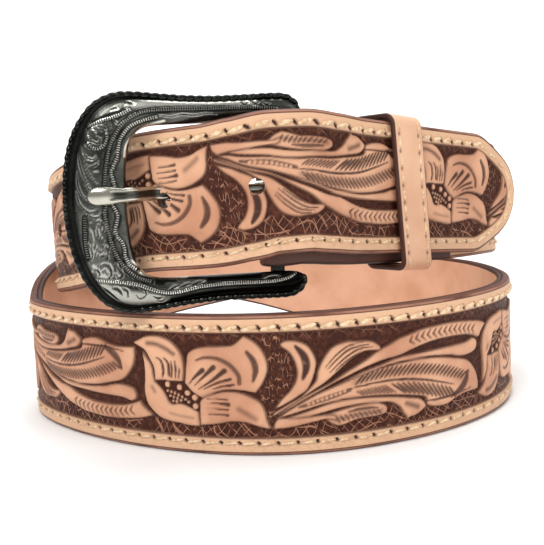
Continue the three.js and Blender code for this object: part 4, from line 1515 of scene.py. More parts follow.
    def face(self, name: str, start: float, end: float, fine: bool, material: Material) -> Object:
        """One stretch of the tooled face, a closed slab.

        Args:
            name: Name of the piece.
            start: Where it starts along the strap.
            end: Where it ends.
            fine: Whether it gets the finer step.
            material: Its finish.

        Returns:
            The piece.
        """
        end = min(end, self.strand.length)
        step = self.fine_step if fine else self.back_step
        s = np.linspace(start, end, int(round((end - start) / step)) + 1)
        frames = self.strand.at(s)
        width = self.half_width(s)
        v = self.columns()[None, :] * width[:, None]
        layers = self.relief(np.broadcast_to(s[:, None], v.shape), v)
        top = frames.thickness[:, None] / 2
        face = frames.place(top + layers["height"], v)
        back_shares = np.array([1.0, 0.985, 0.33, -0.33, -0.985, -1.0])
        back_depth = np.array([0.3, 0.0, 0.0, 0.0, 0.0, 0.3]) - self.face_depth
        back_v = back_shares[None, :] * width[:, None]
        back = frames.place(top + back_depth[None, :], back_v)
        bare = np.zeros_like(back_v)
        numbers = {label: np.concatenate([values, bare], axis=1)
                   for label, values in layers.items() if label != "height"}
        obj = make_body(name, np.concatenate([face, back], axis=1), material, **numbers)
        all_v = np.concatenate([v, back_v], axis=1)
        add_uv(obj, np.broadcast_to(s[:, None], all_v.shape), all_v)
        return obj

    def lining(self, material: Material) -> Object:
        """The smooth inner layer, one long closed slab."""
        length = self.strand.length
        s = np.concatenate([
            np.arange(self.plain_until, length - self.taper, 1.5),
            length - self.taper * np.linspace(1, 0, 50),
        ])
        frames = self.strand.at(s)
        width = self.half_width(s)
        top = -self.face_depth - 0.02
        bottom = -self.path.thickness
        turn = np.radians(np.linspace(0, 90, 6))
        corner_v = -self.lining_round * (1 - np.cos(turn))
        corner_h = bottom + self.lining_round * (1 - np.sin(turn))
        inset = np.concatenate([[-0.35, -0.1], corner_v, [-2.0, -4.0, -9.0]])
        depth = np.concatenate([[top, top - 0.18], corner_h, [bottom] * 3])
        v_right = width[:, None] * np.clip(1 + inset[None, :] / self.half, 0, 1)
        v = np.concatenate([v_right, -v_right[:, ::-1]], axis=1)
        h = np.concatenate([depth, depth[::-1]])
        edge = np.minimum(np.abs(np.concatenate([inset, inset[::-1]])), 9)
        rim = np.where(h > bottom + 0.02, 0.0, edge)
        points = frames.place(frames.thickness[:, None] / 2 + h[None, :], v)
        return make_body("strap_lining", points, material, edge=rim)

    def fold(self, material: Material) -> Object:
        """The plain thinned end, folded round the bar, with the slot for the prong."""
        start, end = self.path.fold_start - self.fold_margin, self.path.fold_end + self.fold_margin
        coarse, fine = 2.0, 0.6
        stretches = ((0, start, coarse), (start, end, fine), (end, self.plain_until, coarse))
        s = np.concatenate([*(np.arange(*stretch) for stretch in stretches), [self.plain_until]])
        frames = self.strand.at(s)
        ring, _ = rounded(frames.thickness / 2, self.half, 1.0, 3)
        inner = self.half - self.fold_rim
        front = np.stack([
            np.column_stack([frames.thickness / 2, np.full(len(s), v)]) for v in (-inner, inner)
        ], axis=1)
        behind = front[:, ::-1] * (-1, 1)
        ring = np.concatenate([ring[:, :4], front, ring[:, 4:12], behind, ring[:, 12:]], axis=1)
        points = frames.place(ring[..., 0], ring[..., 1])
        obj = make_body("strap_fold", points, material, edge=self.half - np.abs(ring[..., 1]))
        spots = np.linspace(self.path.fold_start - self.slot_reach, self.path.fold_end + self.slot_reach, 60)
        way = self.strand.at(spots)
        way.across[:] = (0, 0, 1)
        way.centre[:, 2] = self.path.prong_level
        hole, _ = rounded(np.full(len(spots), self.path.thickness / 2 + 0.2), self.slot_height / 2, 0.4, 3)
        cut(obj, make_body("slot_cutter", way.place(hole[..., 0], hole[..., 1]), material))
        return obj

    def punch(self, obj: Object, s: float) -> None:
        """Cuts one round hole through a piece of the strap."""
        frame = self.strand.at(np.array([s]))
        angles = np.linspace(0, 2 * math.pi, 28, endpoint=False)
        radius = self.hole_diameter / 2
        reach = self.path.thickness / 2 + 0.5
        pairs = np.column_stack([np.cos(angles), np.sin(angles)])
        circle = radius * (pairs @ np.vstack([frame.tangent, frame.across]))
        rings = [frame.centre[0] + frame.normal[0] * out + circle for out in (-reach, reach)]
        cut(obj, make_body("punch", np.array(rings), obj.data.materials[0]))

    def stitches(self, material: Material) -> list[Object]:
        """Two lines of thread, along the upper and the lower border."""
        made = []
        looks = {
            1: Row("upper_stitches", 4.75, 1.35, 1.15, 13.0, 2.5, 4),
            -1: Row("lower_stitches", 4.5, 0.8, 0.7, 8.0, 3.0, 9),
        }
        for sign, row in looks.items():
            s = self.stitch_places(self.plain_until + 2, self.strand.length, sign)
            frames = self.strand.at(s)
            out = frames.thickness / 2 + self.thread_lift
            points = frames.place(out, np.full(len(s), sign * (self.half - self.stitch_inset)))
            made.append(row.run(points, frames.tangent, frames.normal, material))
        return made

    def tip_stitches(self, material: Material) -> Object:
        """Thread round the tapered tip, at its inset from the edge."""
        inner = self._inset_outline(self.stitch_inset)
        arc = arc_of(inner)
        count = int(arc[-1] // self.stitch_pitch)
        spots = (np.arange(count) + 0.5) * arc[-1] / count
        s, v = read_off(inner, arc, spots).T
        ahead = unit(read_off(inner, arc, spots + 0.5) - read_off(inner, arc, spots - 0.5))
        frames = self.strand.at(s)
        points = frames.place(frames.thickness / 2 + self.thread_lift, v)
        heading = frames.tangent * ahead[:, :1] + frames.across * ahead[:, 1:]
        row = Row("tip_stitches", 4.4, 1.0, 0.9, 8.0, 3.0, 6)
        return row.run(points, heading, frames.normal, material)

    def _inset_outline(self, inset: float) -> Array:
        """Outline of the tip moved inwards, where it stays inside the strap."""
        step = unit(np.gradient(self.outline, axis=0))
        inner = self.outline + inset * np.column_stack([step[:, 1], -step[:, 0]])
        gap, _ = path_distance(inner[:, 0], inner[:, 1], self.outline)
        return inner[(gap > inset - 0.25) & (inner[:, 0] > self.strand.length - self.taper)]

    def build(self, face: Material, lining: Material, dark: Material, thread: Material) -> None:
        """Makes all of the strap and lets it ride on the belt.

        Args:
            face: Finish of the tooled face.
            lining: Finish of the smooth inside.
            dark: Finish of the fold round the bar.
            thread: Finish of the stitches.
        """
        holes = self.path.holes(self.hole_count)
        pieces = []
        for name, start, end, fine in self.stretches:
            piece = self.face(name, start, end, fine, face)
            for s in holes:
                if start < s < end:
                    self.punch(piece, s)
            pieces.append(piece)
        inner = self.lining(lining)
        for s in holes:
            self.punch(inner, s)
        finish_piece(self.fold(dark), "strap_leather", "strap")
        for piece in (*pieces, inner, *self.stitches(thread), self.tip_stitches(thread)):
            finish_piece(piece, "strap_leather")


@dataclass
class KeeperLoop:
    """The leather loop with its two rows of small stitches."""

    path: BeltPath
    width: float = 12.7
    wall: float = 1.8
    gap: float = 0.45
    from_bar: float = 44.4
    lean: float = 9.5
    corner: float = 1.6
    stitch_pitch: float = 4.9
    stitch_inset: float = 2.1
    first_stitch: float = 1.0
    band_step: float = 0.4
    dimple_depth: float = 0.35

    # Steps of the loop's line that make its front and the turns to it.
    front = slice(5, 13)

    def __post_init__(self) -> None:
        """Works out the loop's middle and size."""
        frame = self.path.beside_bar(self.from_bar)
        self.tangent, self.normal, across = frame.tangent[0], frame.normal[0], frame.across[0]
        out_face = self.path.thickness / 2 + self.gap
        in_face = self.path.flap_inset + self.path.fold_thickness / 2 + self.gap
        top = self.path.width / 2 + self.gap
        bottom = self.path.width / 2 + self.path.drop(self.from_bar) + self.gap
        self.half_out = (out_face + in_face + self.wall) / 2
        self.half_up = (top + bottom + self.wall) / 2
        self.centre = frame.centre[0] + self.normal * (out_face - in_face) / 2 + across * (top - bottom) / 2
        self.up = across - math.tan(math.radians(self.lean)) * self.tangent

    def round_loop(self) -> tuple[Array, Array]:
        """Middle line of the loop's wall, as out and up pairs, and the direction out of it."""
        return rounded(self.half_out, self.half_up, self.corner + self.wall / 2, 8)

    def across_loop(self, pairs: Array) -> Array:
        """Out and up pairs as directions in space."""
        return pairs[:, :1] * self.normal + pairs[:, 1:] * self.up

    def band(self, material: Material) -> Object:
        """The loop itself, its long sides divided and its edges rounded."""
        spots, faces = self.round_loop()
        closed, turned = np.vstack([spots, spots[:1]]), np.vstack([faces, faces[:1]])
        arc = arc_of(closed)
        stops = np.unique(np.concatenate([arc, np.arange(0, arc[-1], self.band_step)]))[:-1]
        middle = self.centre + self.across_loop(read_off(closed, arc, stops))
        radial = self.across_loop(unit(read_off(turned, arc, stops)))
        section, edges = self.section()
        start, end = arc[self.front.start], arc[self.front.stop - 1]
        dimples = self.dimples(stops - start, end - start, section)
        points = (
            middle[:, None, :]
            + (section[None, :, :1] - self.dimple_depth * dimples[..., None]) * radial[:, None, :]
            + section[None, :, 1:] * self.tangent[None, None, :]
        )
        return make_body("keeper_band", points, material, looped=True, tone=dimples, edge=edges)

    def dimples(self, spots: Array, reach: float, section: Array) -> Array:
        """Depth, from 0 to 1, of the needle holes between the stitches of the front."""
        phase = (spots - self.first_stitch) / self.stitch_pitch
        ahead = (phase % 1 - 0.5) * self.stitch_pitch
        shown = (spots > 0) & (spots < reach - 1)
        aside = np.abs(section[:, 1]) - (self.width / 2 - self.stitch_inset)
        outer = section[:, 0] > 0.3
        hole = np.exp(-((ahead[:, None] / 0.55) ** 2) - (aside[None, :] / 0.42) ** 2)
        return hole * shown[:, None] * outer[None, :]

    def section(self) -> tuple[Array, Array]:
        """Cross-section of the band as out and along pairs, and the distance to its edge."""
        half_out, half = self.wall / 2, self.width / 2
        radius, steps = 0.7, 4
        corners, _ = rounded(half_out, half, radius, steps)
        x = np.linspace(-half + radius, half - radius, 34)[1:-1]
        crown = np.column_stack([half_out - 0.12 * (x / half) ** 2, x])
        rows = np.vstack([corners[: steps + 1], crown, corners[steps + 1 :]])
        return rows, half - np.abs(rows[:, 1])

    def stitches(self, material: Material) -> Object:
        """The two rows of small stitches on the front and the outer turns."""
        line, face = (rows[self.front] for rows in self.round_loop())
        arc = arc_of(line)
        stops = np.arange(self.first_stitch, arc[-1] - 0.5, self.stitch_pitch)
        radial = self.across_loop(read_off(face, arc, stops))
        middle = self.centre + self.across_loop(read_off(line, arc, stops)) + radial * (self.wall / 2 + 0.02)
        aside = (self.width / 2 - self.stitch_inset) * self.tangent
        heading = np.cross(radial, self.tangent)
        row = Row("keeper_stitches", 3.5, 0.85, 0.6, 10.0, 5.0, 3)
        rows = np.vstack([middle - aside, middle + aside])
        return row.run(rows, np.vstack([heading] * 2), np.vstack([radial] * 2), material)

    def build(self, leather: Material, thread: Material) -> None:
        """Makes the loop and lets it ride on the belt."""
        finish_piece(self.band(leather), "keeper_leather", "keeper")
        finish_piece(self.stitches(thread), "keeper_leather")


@dataclass(frozen=True)
class TickedBand:
    """Bright band of fine ticks between two dark lines."""

    points: tuple[Point, ...]
    half: float = 0.5
    bright: float = 0.7

    def carve(self, canvas: Canvas, placing: Placing) -> None:
        """Draws the band on the canvas."""
        cells, gap, share, length = canvas.near(self.points, placing, self.half + 0.8, 8)
        cover = smoothstep(self.half + 0.1, self.half - 0.05, gap)
        canvas.mark[cells] = np.maximum(canvas.mark[cells] * (1 - cover), cover)
        canvas.lay(cells, cover, dye=self.bright, tone=0)
        canvas.way[cells] = np.where(gap < self.half + 0.3, share * length, canvas.way[cells])
        lines = smoothstep(0.24, 0.08, np.abs(gap - self.half - 0.16))
        canvas.darken(cells, 0.95 * lines)
        canvas.height[cells] -= 0.2 * lines


@dataclass(frozen=True)
class PaintedLight:
    """Stretch of metal painted bright as a highlight, and painted black as shade where its strength is
    negative.
    """

    points: tuple[Point, ...]
    width: float
    strength: float = 0.8

    def carve(self, canvas: Canvas, placing: Placing) -> None:
        """Paints the stretch's highlight, or its shade when negative, on the canvas."""
        cells, gap, *_ = canvas.near(self.points, placing, 2.2 * self.width)
        soft = smoothstep(2.0 * self.width, 0.6 * self.width, gap)
        canvas.lay(cells, soft, dye=self.strength)


# Engraving of the buckle, with its painted highlights and painted shade, along the frame and up it from its
# middle.
ENGRAVING: tuple[Tool | TickedBand | PaintedLight, ...] = (
    PaintedLight(((-6, -27.5), (4, -26), (14, -25.6), (24, -25.2), (30, -23.5)), 1.5, -0.9),
    PaintedLight(((-8, -20.8), (2, -20.9), (12, -20.8), (22, -20.8), (29, -20.5)), 1.1, -0.75),
    PaintedLight(((-28.8, -12), (-29.2, 0), (-27.5, 12), (-24, 21)), 1.0, -0.6),
    PaintedLight(((-23.2, 8), (-23.5, 13), (-22.5, 17.5)), 1.6, -0.25),
    PaintedLight(((-13, 25.4), (-6, 25.9), (4, 25.7), (12, 25.3), (20, 25)), 0.75, 0.7),
    PaintedLight(((-15.2, -16), (-12, -17.8), (-8, -19.2), (-1, -19.9)), 0.8, 1.0),
    PaintedLight(((-24, -21), (-20, -23.6), (-15, -24.8), (-9, -25)), 1.3, 0.4),
    PaintedLight(((-24.8, -16), (-23, -18.4), (-21.5, -19.2)), 0.45, 0.45),
    PaintedLight(((-14.9, 12.5), (-14.2, 15.5), (-12, 18.2), (-9, 20.1), (-4, 21.3)), 0.25, 0.7),
    PaintedLight(((-23, 8.8), (-21.9, 8.9)), 0.3, 0.6),
    Groove(((-26.9, 14), (-26.5, 10.5), (-25.5, 7), (-24.2, 4.8)), (0.1, 0.26, 0.1), 0.2),
    Groove(((-25.2, 12.5), (-24.7, 9.5), (-23.5, 7), (-22.2, 5.2)), (0.1, 0.22, 0.1), 0.18),
    Groove(((-27.4, 9), (-27.5, 6), (-26.7, 3.4), (-25.2, 1.4)), (0.1, 0.24, 0.1), 0.18),
    Groove(((-28, 4), (-27.6, 1.4), (-26.4, -1)), (0.1, 0.24, 0.1), 0.18),
    *cuts((0.15, 0.22, 0.1), 0.22, ((-18.4, 21.4), (-18, 20.6), (-18, 19.6)),
          ((-16.8, 21.8), (-16.2, 21), (-15.9, 20.2)), ((-19.9, 21.2), (-19.3, 20.2), (-19.2, 19)),
          ((-21.2, 20.9), (-20.6, 20), (-20.4, 19)), ((-22.5, 20.4), (-21.9, 19.6), (-21.6, 18.8))),
    TickedBand(((-24.1, 16.4), (-23.2, 15.2), (-21.7, 14.7), (-20.2, 15.3), (-19.2, 16.8), (-18.9, 18.6)),
               0.4, 0.4),
    Groove(((-23.8, 19), (-23.3, 17.4), (-22.4, 16.4), (-21.3, 16.2), (-20.8, 17.2), (-21.6, 18)),
           (0.12, 0.24, 0.18), 0.22),
    TickedBand(((-24, 20.8), (-20.5, 21.9), (-17.5, 22.6), (-15, 23.4), (-12.5, 24.5)), 0.4, 0.6),
    TickedBand(((26, 23.4), (20, 23.9), (12, 24.1), (4, 24.2), (-4, 24.3), (-8, 24.1), (-10.5, 23.5),
                (-12.8, 22.4), (-15, 20.8), (-16.4, 19), (-17.6, 17), (-18.6, 15), (-19.3, 12.5),
                (-19.9, 10), (-20.3, 7), (-20.6, 4), (-20.4, 1), (-20.9, -2), (-20.7, -4.7),
                (-20.2, -7.5), (-19.6, -10.5), (-18.6, -13.5), (-17.2, -16), (-15.3, -18.3),
                (-12.8, -20), (-10, -20.9)), 0.48, 0.25),
    TickedBand(((-6, 22.4), (-9.5, 21.6), (-12.2, 20.6), (-14.2, 19), (-15.7, 17), (-16.4, 14.6),
                (-16.8, 12.4), (-17.8, 10.4), (-18.6, 8.6), (-18.3, 6.6), (-18, 4), (-18.9, 1),
                (-18.3, -1), (-17.7, -2.9), (-18.1, -4.9), (-18.6, -6.7), (-18.1, -8.5), (-17, -10),
                (-16.5, -12), (-16.4, -14), (-15.4, -16), (-13.6, -17.6)), 0.48, 0.45),
    TickedBand(((-26.2, -3), (-26.5, -7), (-26.6, -11), (-26.2, -14)), 0.5, 0.1),
    Groove(((-25.6, 15), (-25, 13.2), (-23.6, 12), (-22.4, 12.4), (-22.4, 13.6)), (0.1, 0.26, 0.12), 0.22),
    Groove(((-24.2, 10.6), (-23, 10.2), (-21.9, 11), (-21.9, 12.2)), (0.1, 0.26, 0.12), 0.2),
    Groove(((-25.6, 5.6), (-24.4, 4.2), (-22.8, 3.6), (-21.8, 4.4)), (0.1, 0.28, 0.12), 0.22),
    *cuts((0.1, 0.3, 0.12), 0.22, ((-27.2, 0.6), (-26, -1), (-24.4, -1.8), (-23, -1.2)),
          ((-25.8, -1.8), (-24.2, -3), (-22.6, -3), (-21.8, -2))),
    Groove(((-23.6, -3.8), (-22.2, -4.4), (-21.4, -6), (-22, -7.4)), (0.12, 0.34, 0.12), 0.24),
    Groove(((-26, -15), (-25, -13.4), (-25.2, -11.2), (-26, -9.6)), (0.1, 0.26, 0.1), 0.2),
    Groove(((-25.6, -17.6), (-24.2, -17), (-23.4, -18), (-23.9, -19.2)), (0.12, 0.34, 0.14), 0.26),
    Groove(((-21.8, -10.4), (-20.8, -11.6), (-20.9, -13)), (0.12, 0.34, 0.12), 0.24),
    Groove(((-24.7, -4.5), (-24.7, -8), (-23.8, -10.8), (-22, -12.3)), (0.12, 0.24, 0.12), 0.22),
    Groove(((-22.9, -5), (-23.1, -7.6), (-21.6, -9.4)), (0.12, 0.3, 0.12), 0.24),
    Groove(((-24.4, -12), (-23, -13.4), (-21.4, -13.2), (-20.6, -14.4)), (0.12, 0.3, 0.12), 0.24),
    Groove(((-23.8, -15.9), (-21.6, -15.7), (-20.5, -16.6), (-20.4, -18.6), (-21.2, -19.4)),
           (0.16, 0.4, 0.16), 0.3),
    Groove(((-22.8, -17.5), (-21.9, -17.2), (-21.7, -18.4)), (0.14, 0.3, 0.14), 0.24),
    Groove(((-19, -15.4), (-18.2, -17.2), (-17.4, -18.8), (-18.6, -19.4), (-19.2, -18)),
           (0.14, 0.34, 0.14), 0.26),
    TickedBand(((-25, -19.9), (-20, -20.3), (-16.5, -20.9), (-13, -21.8), (-10.5, -22.8), (-8, -23.7),
                (-5, -24.3), (-2, -24.1), (0, -23.7), (3, -23.1), (6, -22.9), (10, -22.7), (15, -22.8),
                (20, -22.9), (25, -22.6), (28, -21.7), (29.8, -20.4)), 0.48, 0.85),
    Groove(((-24.2, -21.4), (-22, -22.7), (-20.2, -24.4), (-18.9, -25.7)), (0.12, 0.36, 0.2), 0.3),
    Groove(((-20.5, -22.1), (-18.9, -22.5), (-17.8, -24.1)), (0.2, 0.5, 0.16), 0.32),
    Groove(((-17.9, -22.2), (-16.5, -23), (-16.4, -24.9)), (0.14, 0.36, 0.14), 0.3),
    Groove(((-14.2, -24.2), (-13.6, -25.2), (-12.4, -25.2), (-11.6, -24.3), (-11.9, -23.1), (-13, -22.8)),
           (0.16, 0.26, 0.14), 0.28),
    Groove(((-9.8, -24.9), (-8.4, -25.6), (-7, -25.2)), (0.12, 0.36, 0.12), 0.26),
    Groove(((-9.2, -26.2), (-7.6, -26.5), (-6.2, -25.9)), (0.12, 0.26, 0.12), 0.26),
    Groove(((-5.4, -23.4), (-4, -22.9), (-2.4, -22.4)), (0.12, 0.42, 0.12), 0.26),
    Groove(((-2.5, -23), (-0.9, -22.5), (0.8, -22)), (0.12, 0.4, 0.12), 0.26),
    Groove(((0.5, -22.6), (2.2, -22.1), (4, -21.7)), (0.12, 0.36, 0.12), 0.26),
    Groove(((20.5, -22.2), (22.4, -21.8), (24.4, -21.6)), (0.12, 0.34, 0.12), 0.26),
    *cuts((0.12, 0.3, 0.12), 0.24, ((16.5, 25.4), (17.4, 24.8), (18.4, 25.2)),
          ((19.4, 25.5), (20.4, 24.9), (21.4, 25.3)), ((22.2, 25.2), (23.2, 24.6), (24.4, 24.8))),
    Groove(((-13.6, 26.6), (-12.4, 26.1), (-11.6, 25.8)), (0.12, 0.4, 0.12), 0.24),
    Groove(((-17.5, 24.4), (-16.4, 25), (-15.6, 24.6)), (0.12, 0.26, 0.12), 0.2),
    Groove(((-8, 21.9), (-5, 22.6), (-2, 22.3), (1, 22.8), (4, 22.4), (7, 22.8), (10, 22.5)),
           (0.12, 0.2, 0.12), 0.2),
)


@dataclass
class HorseshoeBuckle:
    """The domed frame with its rope edge and engraving, its heel bar and the prong."""

    path: BeltPath
    length: float = 64.0
    front: float = 2.6
    back: float = 1.6
    bar_from_heel_end: float = 7.2
    bar_setback: float = 2.6
    toe_standoff: float = 6.7
    lug_radius: float = 2.9
    lug_on_arm: float = 0.42
    toe_outer: float = -0.991
    toe_inner: float = -0.478
    rope_pitch: float = 2.35
    rope_inset: float = 0.72
    rope_level: float = 0.24
    rope_channel: tuple[float, float] = (0.17, 0.22)
    rope_facing: tuple[float, float] = (0.66, 0.75)
    prong_height: float = 3.3
    prong_depth: float = 2.7
    prong_tip_height: float = 4.7
    prong_overhang: float = 9.5
    prong_clearance: float = 0.4
    prong_widening: float = 0.5
    prong_hollow: float = 0.5
    # Strength of the painted highlight beside each cut of the engraving.
    glint: float = 0.48
    row_step: float = 0.36
    drawing_half: tuple[float, float] = (34.0, 31.0)
    drawing_cell: float = 0.12

    # Path of the prong near its hole and over the toe, in shares of its depth and overhang.
    prong_at_hole = ((2.96, -0.78), (0.96, -0.96), (0, 0), (-0.89, 1.11))
    prong_on_toe = ((-0.16, -0.19), (0.45, 0.11), (1, -0.04))

    def __post_init__(self) -> None:
        """Works out the frame's plane and lays its edges."""
        self.half = self.length / 2
        self.half_window = self.path.width / 2 + self.path.window_clearance
        bar = self.path.bar_centre
        toe_from_bar = (1 - self.toe_inner) * self.half - self.bar_from_heel_end
        seat_frame = self.path.beside_bar(-toe_from_bar)
        reach = self.path.thickness / 2 + self.toe_standoff
        seat = seat_frame.centre[0] + seat_frame.normal[0] * reach
        span = math.hypot(bar[0] - seat[0], bar[1] - seat[1])
        turn = math.atan2(bar[1] - seat[1], bar[0] - seat[0]) - math.asin(self.bar_setback / span)
        self.along = np.array([math.cos(turn), math.sin(turn), 0])
        self.out = np.array([math.sin(turn), -math.cos(turn), 0])
        self.up = np.array([0.0, 0.0, 1.0])
        self.centre = bar + self.along * (self.bar_from_heel_end - self.half) + self.out * self.bar_setback
        self._lay_rows()

    def on_frame(self, along: Array, out: Array, up: Array) -> Array:
        """Points in the frame's own axes."""
        return (
            self.centre
            + np.multiply.outer(along, self.along)
            + np.multiply.outer(out, self.out)
            + np.multiply.outer(up, self.up)
        )

    def _lay_rows(self) -> None:
        """Smooth edges of the frame from its lower heel end round to the upper one."""
        rows = [
            (outer_along * self.half, self.half_window + outer_arm * self.path.toe_arm,
             inner_along * self.half, inner_share * self.half_window, body)
            for outer_along, outer_arm, inner_along, inner_share, body in FRAME_ROWS
        ]
        toe = (self.toe_outer * self.half, 0.0, self.toe_inner * self.half, 0.0, 1.0)
        lower = [(a, -b, c, -d, e) for a, b, c, d, e in rows]
        table = smooth_path([*lower, toe, *reversed(rows)], 16)
        middle = (table[:, 0:2] + table[:, 2:4]) / 2
        arc = arc_of(middle)
        self.rows = read_off(table, arc, np.linspace(0, arc[-1], int(arc[-1] / self.row_step)))

    def engraving(self) -> Canvas:
        """Drawing of the engraving on the frame's plane."""
        along, up = self.drawing_half
        canvas = Canvas(-along, along, -up, up, self.drawing_cell, 0.0)
        # On the buckle the dye layer holds painted highlights, painted shade and the bright-cut bands.
        canvas.dye[:] = 0
        for tool in ENGRAVING:
            # Each cut of the buckle gets a painted highlight on either side.
            if isinstance(tool, Groove):
                tool = replace(tool, glint=self.glint)
            tool.carve(canvas, Placing())
        return canvas

    def frame(self, material: Material) -> Object:
        """The cast frame with its dome, bevels and engraving."""
        canvas = self.engraving()
        face = smooth_path(FRAME_FACE, 7)
        back = np.array([(1.0, -0.4), (0.985, -0.8), (0.94, -1.0), (0.5, -1.0), (0.06, -1.0), (0.015, -0.8),
                         (0.0, -0.4)])
        share = np.concatenate([np.clip(face[:, 0], 0, 1), back[:, 0]])
        height = np.concatenate([face[:, 1] * self.front, back[:, 1] * self.back])
        outer, inner = self.rows[:, 0:2], self.rows[:, 2:4]
        spot = outer[:, None, :] * (1 - share[None, :, None]) + inner[:, None, :] * share[None, :, None]
        out = height[None, :] * self.rows[:, 4:5]
        front = np.arange(len(share)) < len(face)
        past_rope = smoothstep(*self.rope_channel, share)
        inside = (front * past_rope)[None, :]
        layers = canvas.samples(("height", "tone", "mark", "dye", "way"), spot[..., 0], spot[..., 1])
        points = self.on_frame(spot[..., 0], out + layers["height"] * inside, spot[..., 1])
        tone = np.maximum(layers["tone"] * inside, 0.9 * (front * (1 - past_rope))[None, :])
        # The dye layer goes out as painted highlights and painted shade, with the bright-cut bands.
        numbers = {"tone": tone, "band": layers["mark"] * inside, "painted_light_and_bright_cut": layers["dye"] * inside}
        return make_body("buckle_frame_cast", points, material, **numbers, way=layers["way"] * MM)

    def rope(self, material: Material) -> Object:
        """The twisted edge: slanted strands along the outer edge."""
        outer, inner = self.rows[:, 0:2], self.rows[:, 2:4]
        arc = arc_of(outer)
        count = int(arc[-1] / self.rope_pitch)
        stops = (np.arange(count) + 0.5) * arc[-1] / count
        spot = read_off(outer, arc, stops)
        toward = unit(read_off(inner, arc, stops) - spot)
        reach = 0.4
        step = unit(read_off(outer, arc, stops + reach) - read_off(outer, arc, stops - reach))
        body = np.interp(stops, arc, self.rows[:, 4])
        inset = spot + toward * self.rope_inset
        centre = self.on_frame(inset[:, 0], self.rope_level * self.front * body, inset[:, 1])
        plane = np.array([self.along, self.up])
        forward, sideways = self.rope_facing
        heading, outward = step @ plane, forward * self.out - sideways * (toward @ plane)
        row = Row("buckle_rope", 3.3, 1.75, 1.8, 14.0, 0.0, 1, 12)
        return row.run(centre, heading, outward, material)

    def bar(self, material: Material) -> Object:
        """The heel bar and the two lugs that carry it."""
        along = self.half - self.bar_from_heel_end
        lug_up = self.half_window + self.lug_on_arm * self.path.toe_arm
        sides = 24
        angles = np.linspace(0, 2 * math.pi, sides, endpoint=False)
        cosine, sine = np.cos(angles), np.sin(angles)
        bar, lug, behind = self.path.bar_radius, self.lug_radius, -self.bar_setback
        rings = [self.on_frame(along + bar * cosine, behind + bar * sine, up) for up in (lug_up, -lug_up)]
        rings += [self.on_frame(along + lug * cosine, out, up + lug * sine)
                  for up in (-lug_up, lug_up) for out in (behind - bar, 0.0)]
        tube = tube_faces(2, sides)
        faces = [[corner + 2 * sides * k for corner in face] for k in range(3) for face in tube]
        obj = make_object("buckle_heel_bar", np.array(rings), faces, material, False)
        face_outwards(obj)
        return obj

    def prong_line(self) -> Array:
        """Middle line of the prong's shaft, from the bar through the hole to the toe."""
        bar = self.path.bar_centre
        frame = self.path.strap.at(np.array([self.path.holes(2)[1]]))
        hole = frame.centre[0]
        ring_radius = self.path.bar_radius + self.prong_clearance + self.prong_depth / 2
        toe_top = self.front + self.prong_clearance + self.prong_depth / 2
        toe_inner = self.toe_inner * self.half
        dip = ring_radius - 0.11 * self.prong_depth
        ahead = 0.3 * self.path.prong_reach
        points = [bar + self.out * ring_radius, bar + self.out * dip - self.along * ahead]
        for along, out in self.prong_at_hole:
            points.append(hole + (frame.tangent[0] * along + frame.normal[0] * out) * self.prong_depth)
        for past, above in self.prong_on_toe:
            along, out = toe_inner - past * self.prong_overhang, toe_top + above * self.prong_depth
            points.append(self.on_frame(along, out, 0.0))
        line = np.array(points)
        line[:, 2] = self.path.prong_level
        return line

    def prong(self, material: Material) -> Object:
        """The tongue's shaft, with a hollow along its front and a swollen tip."""
        coarse = smooth_path(self.prong_line(), 24)
        arc = arc_of(coarse)
        share = np.linspace(0, 1, 130)
        line = read_off(coarse, arc, share * arc[-1])
        tangent = unit(np.gradient(line, axis=0))
        normal = np.column_stack([tangent[:, 1], -tangent[:, 0], np.zeros(len(line))])
        swell = smoothstep(0.83, 0.9, share)
        end = np.clip((share - 0.95) / 0.05, 0, 1)
        tail = np.sqrt(np.clip(1 - (0.93 * end) ** 2, 0, 1))
        shaft = self.prong_height + self.prong_widening * smoothstep(0.5, 0.6, share)
        height = (shaft + (self.prong_tip_height - shaft) * swell) * tail
        depth = self.prong_depth * (1 - 0.2 * smoothstep(0.9, 1.0, share)) * (0.35 + 0.65 * tail)
        angles = np.linspace(0, 2 * math.pi, 48, endpoint=False)
        cosine, sine = np.cos(angles), np.sin(angles)
        groove = smoothstep(0.62, 0.35, np.abs(sine)) * (cosine < 0)
        fade = smoothstep(0.3, 0.4, share) * smoothstep(0.91, 0.86, share)
        hollow = fade[:, None] * groove[None, :]
        square = np.sign(cosine) * np.abs(cosine) ** 0.7
        out = depth[:, None] / 2 * square[None, :] + self.prong_hollow * hollow
        points = (
            line[:, None, :]
            + out[..., None] * normal[:, None, :]
            + (height[:, None] / 2 * sine[None, :])[..., None] * self.up
        )
        return make_body("prong_tongue", points, material, tone=0.9 * hollow)

    def prong_ring(self, material: Material) -> Object:
        """The loop of the prong round the heel bar."""
        radius = self.path.bar_radius + self.prong_clearance + self.prong_depth / 2
        turns = np.linspace(0, 2 * math.pi, 40, endpoint=False)
        angles = np.linspace(0, 2 * math.pi, 20, endpoint=False)
        cosine, sine = np.cos(angles), np.sin(angles)
        squared = 0.45
        out = self.prong_depth / 2 * np.sign(cosine) * np.abs(cosine) ** squared
        up = self.prong_height / 2 * np.sign(sine) * np.abs(sine) ** squared
        radial = np.column_stack([np.cos(turns), np.sin(turns), 0 * turns])
        points = (
            np.array([*self.path.bar_centre[:2], self.path.prong_level])
            + (radius + out[None, :, None]) * radial[:, None, :]
            + up[None, :, None] * self.up
        )
        return make_body("prong_ring", points, material, looped=True, tone=0.3)

    def build(self, engraved: Material, blackened: Material, polished: Material) -> None:
        """Makes the buckle and lets it ride on the belt."""
        finish_piece(self.frame(engraved), "frame_metal", "buckle_frame")
        for piece in (self.rope(blackened), self.bar(blackened)):
            finish_piece(piece, "frame_metal")
        finish_piece(self.prong(polished), "prong_metal", "prong")
        finish_piece(self.prong_ring(polished), "prong_metal")


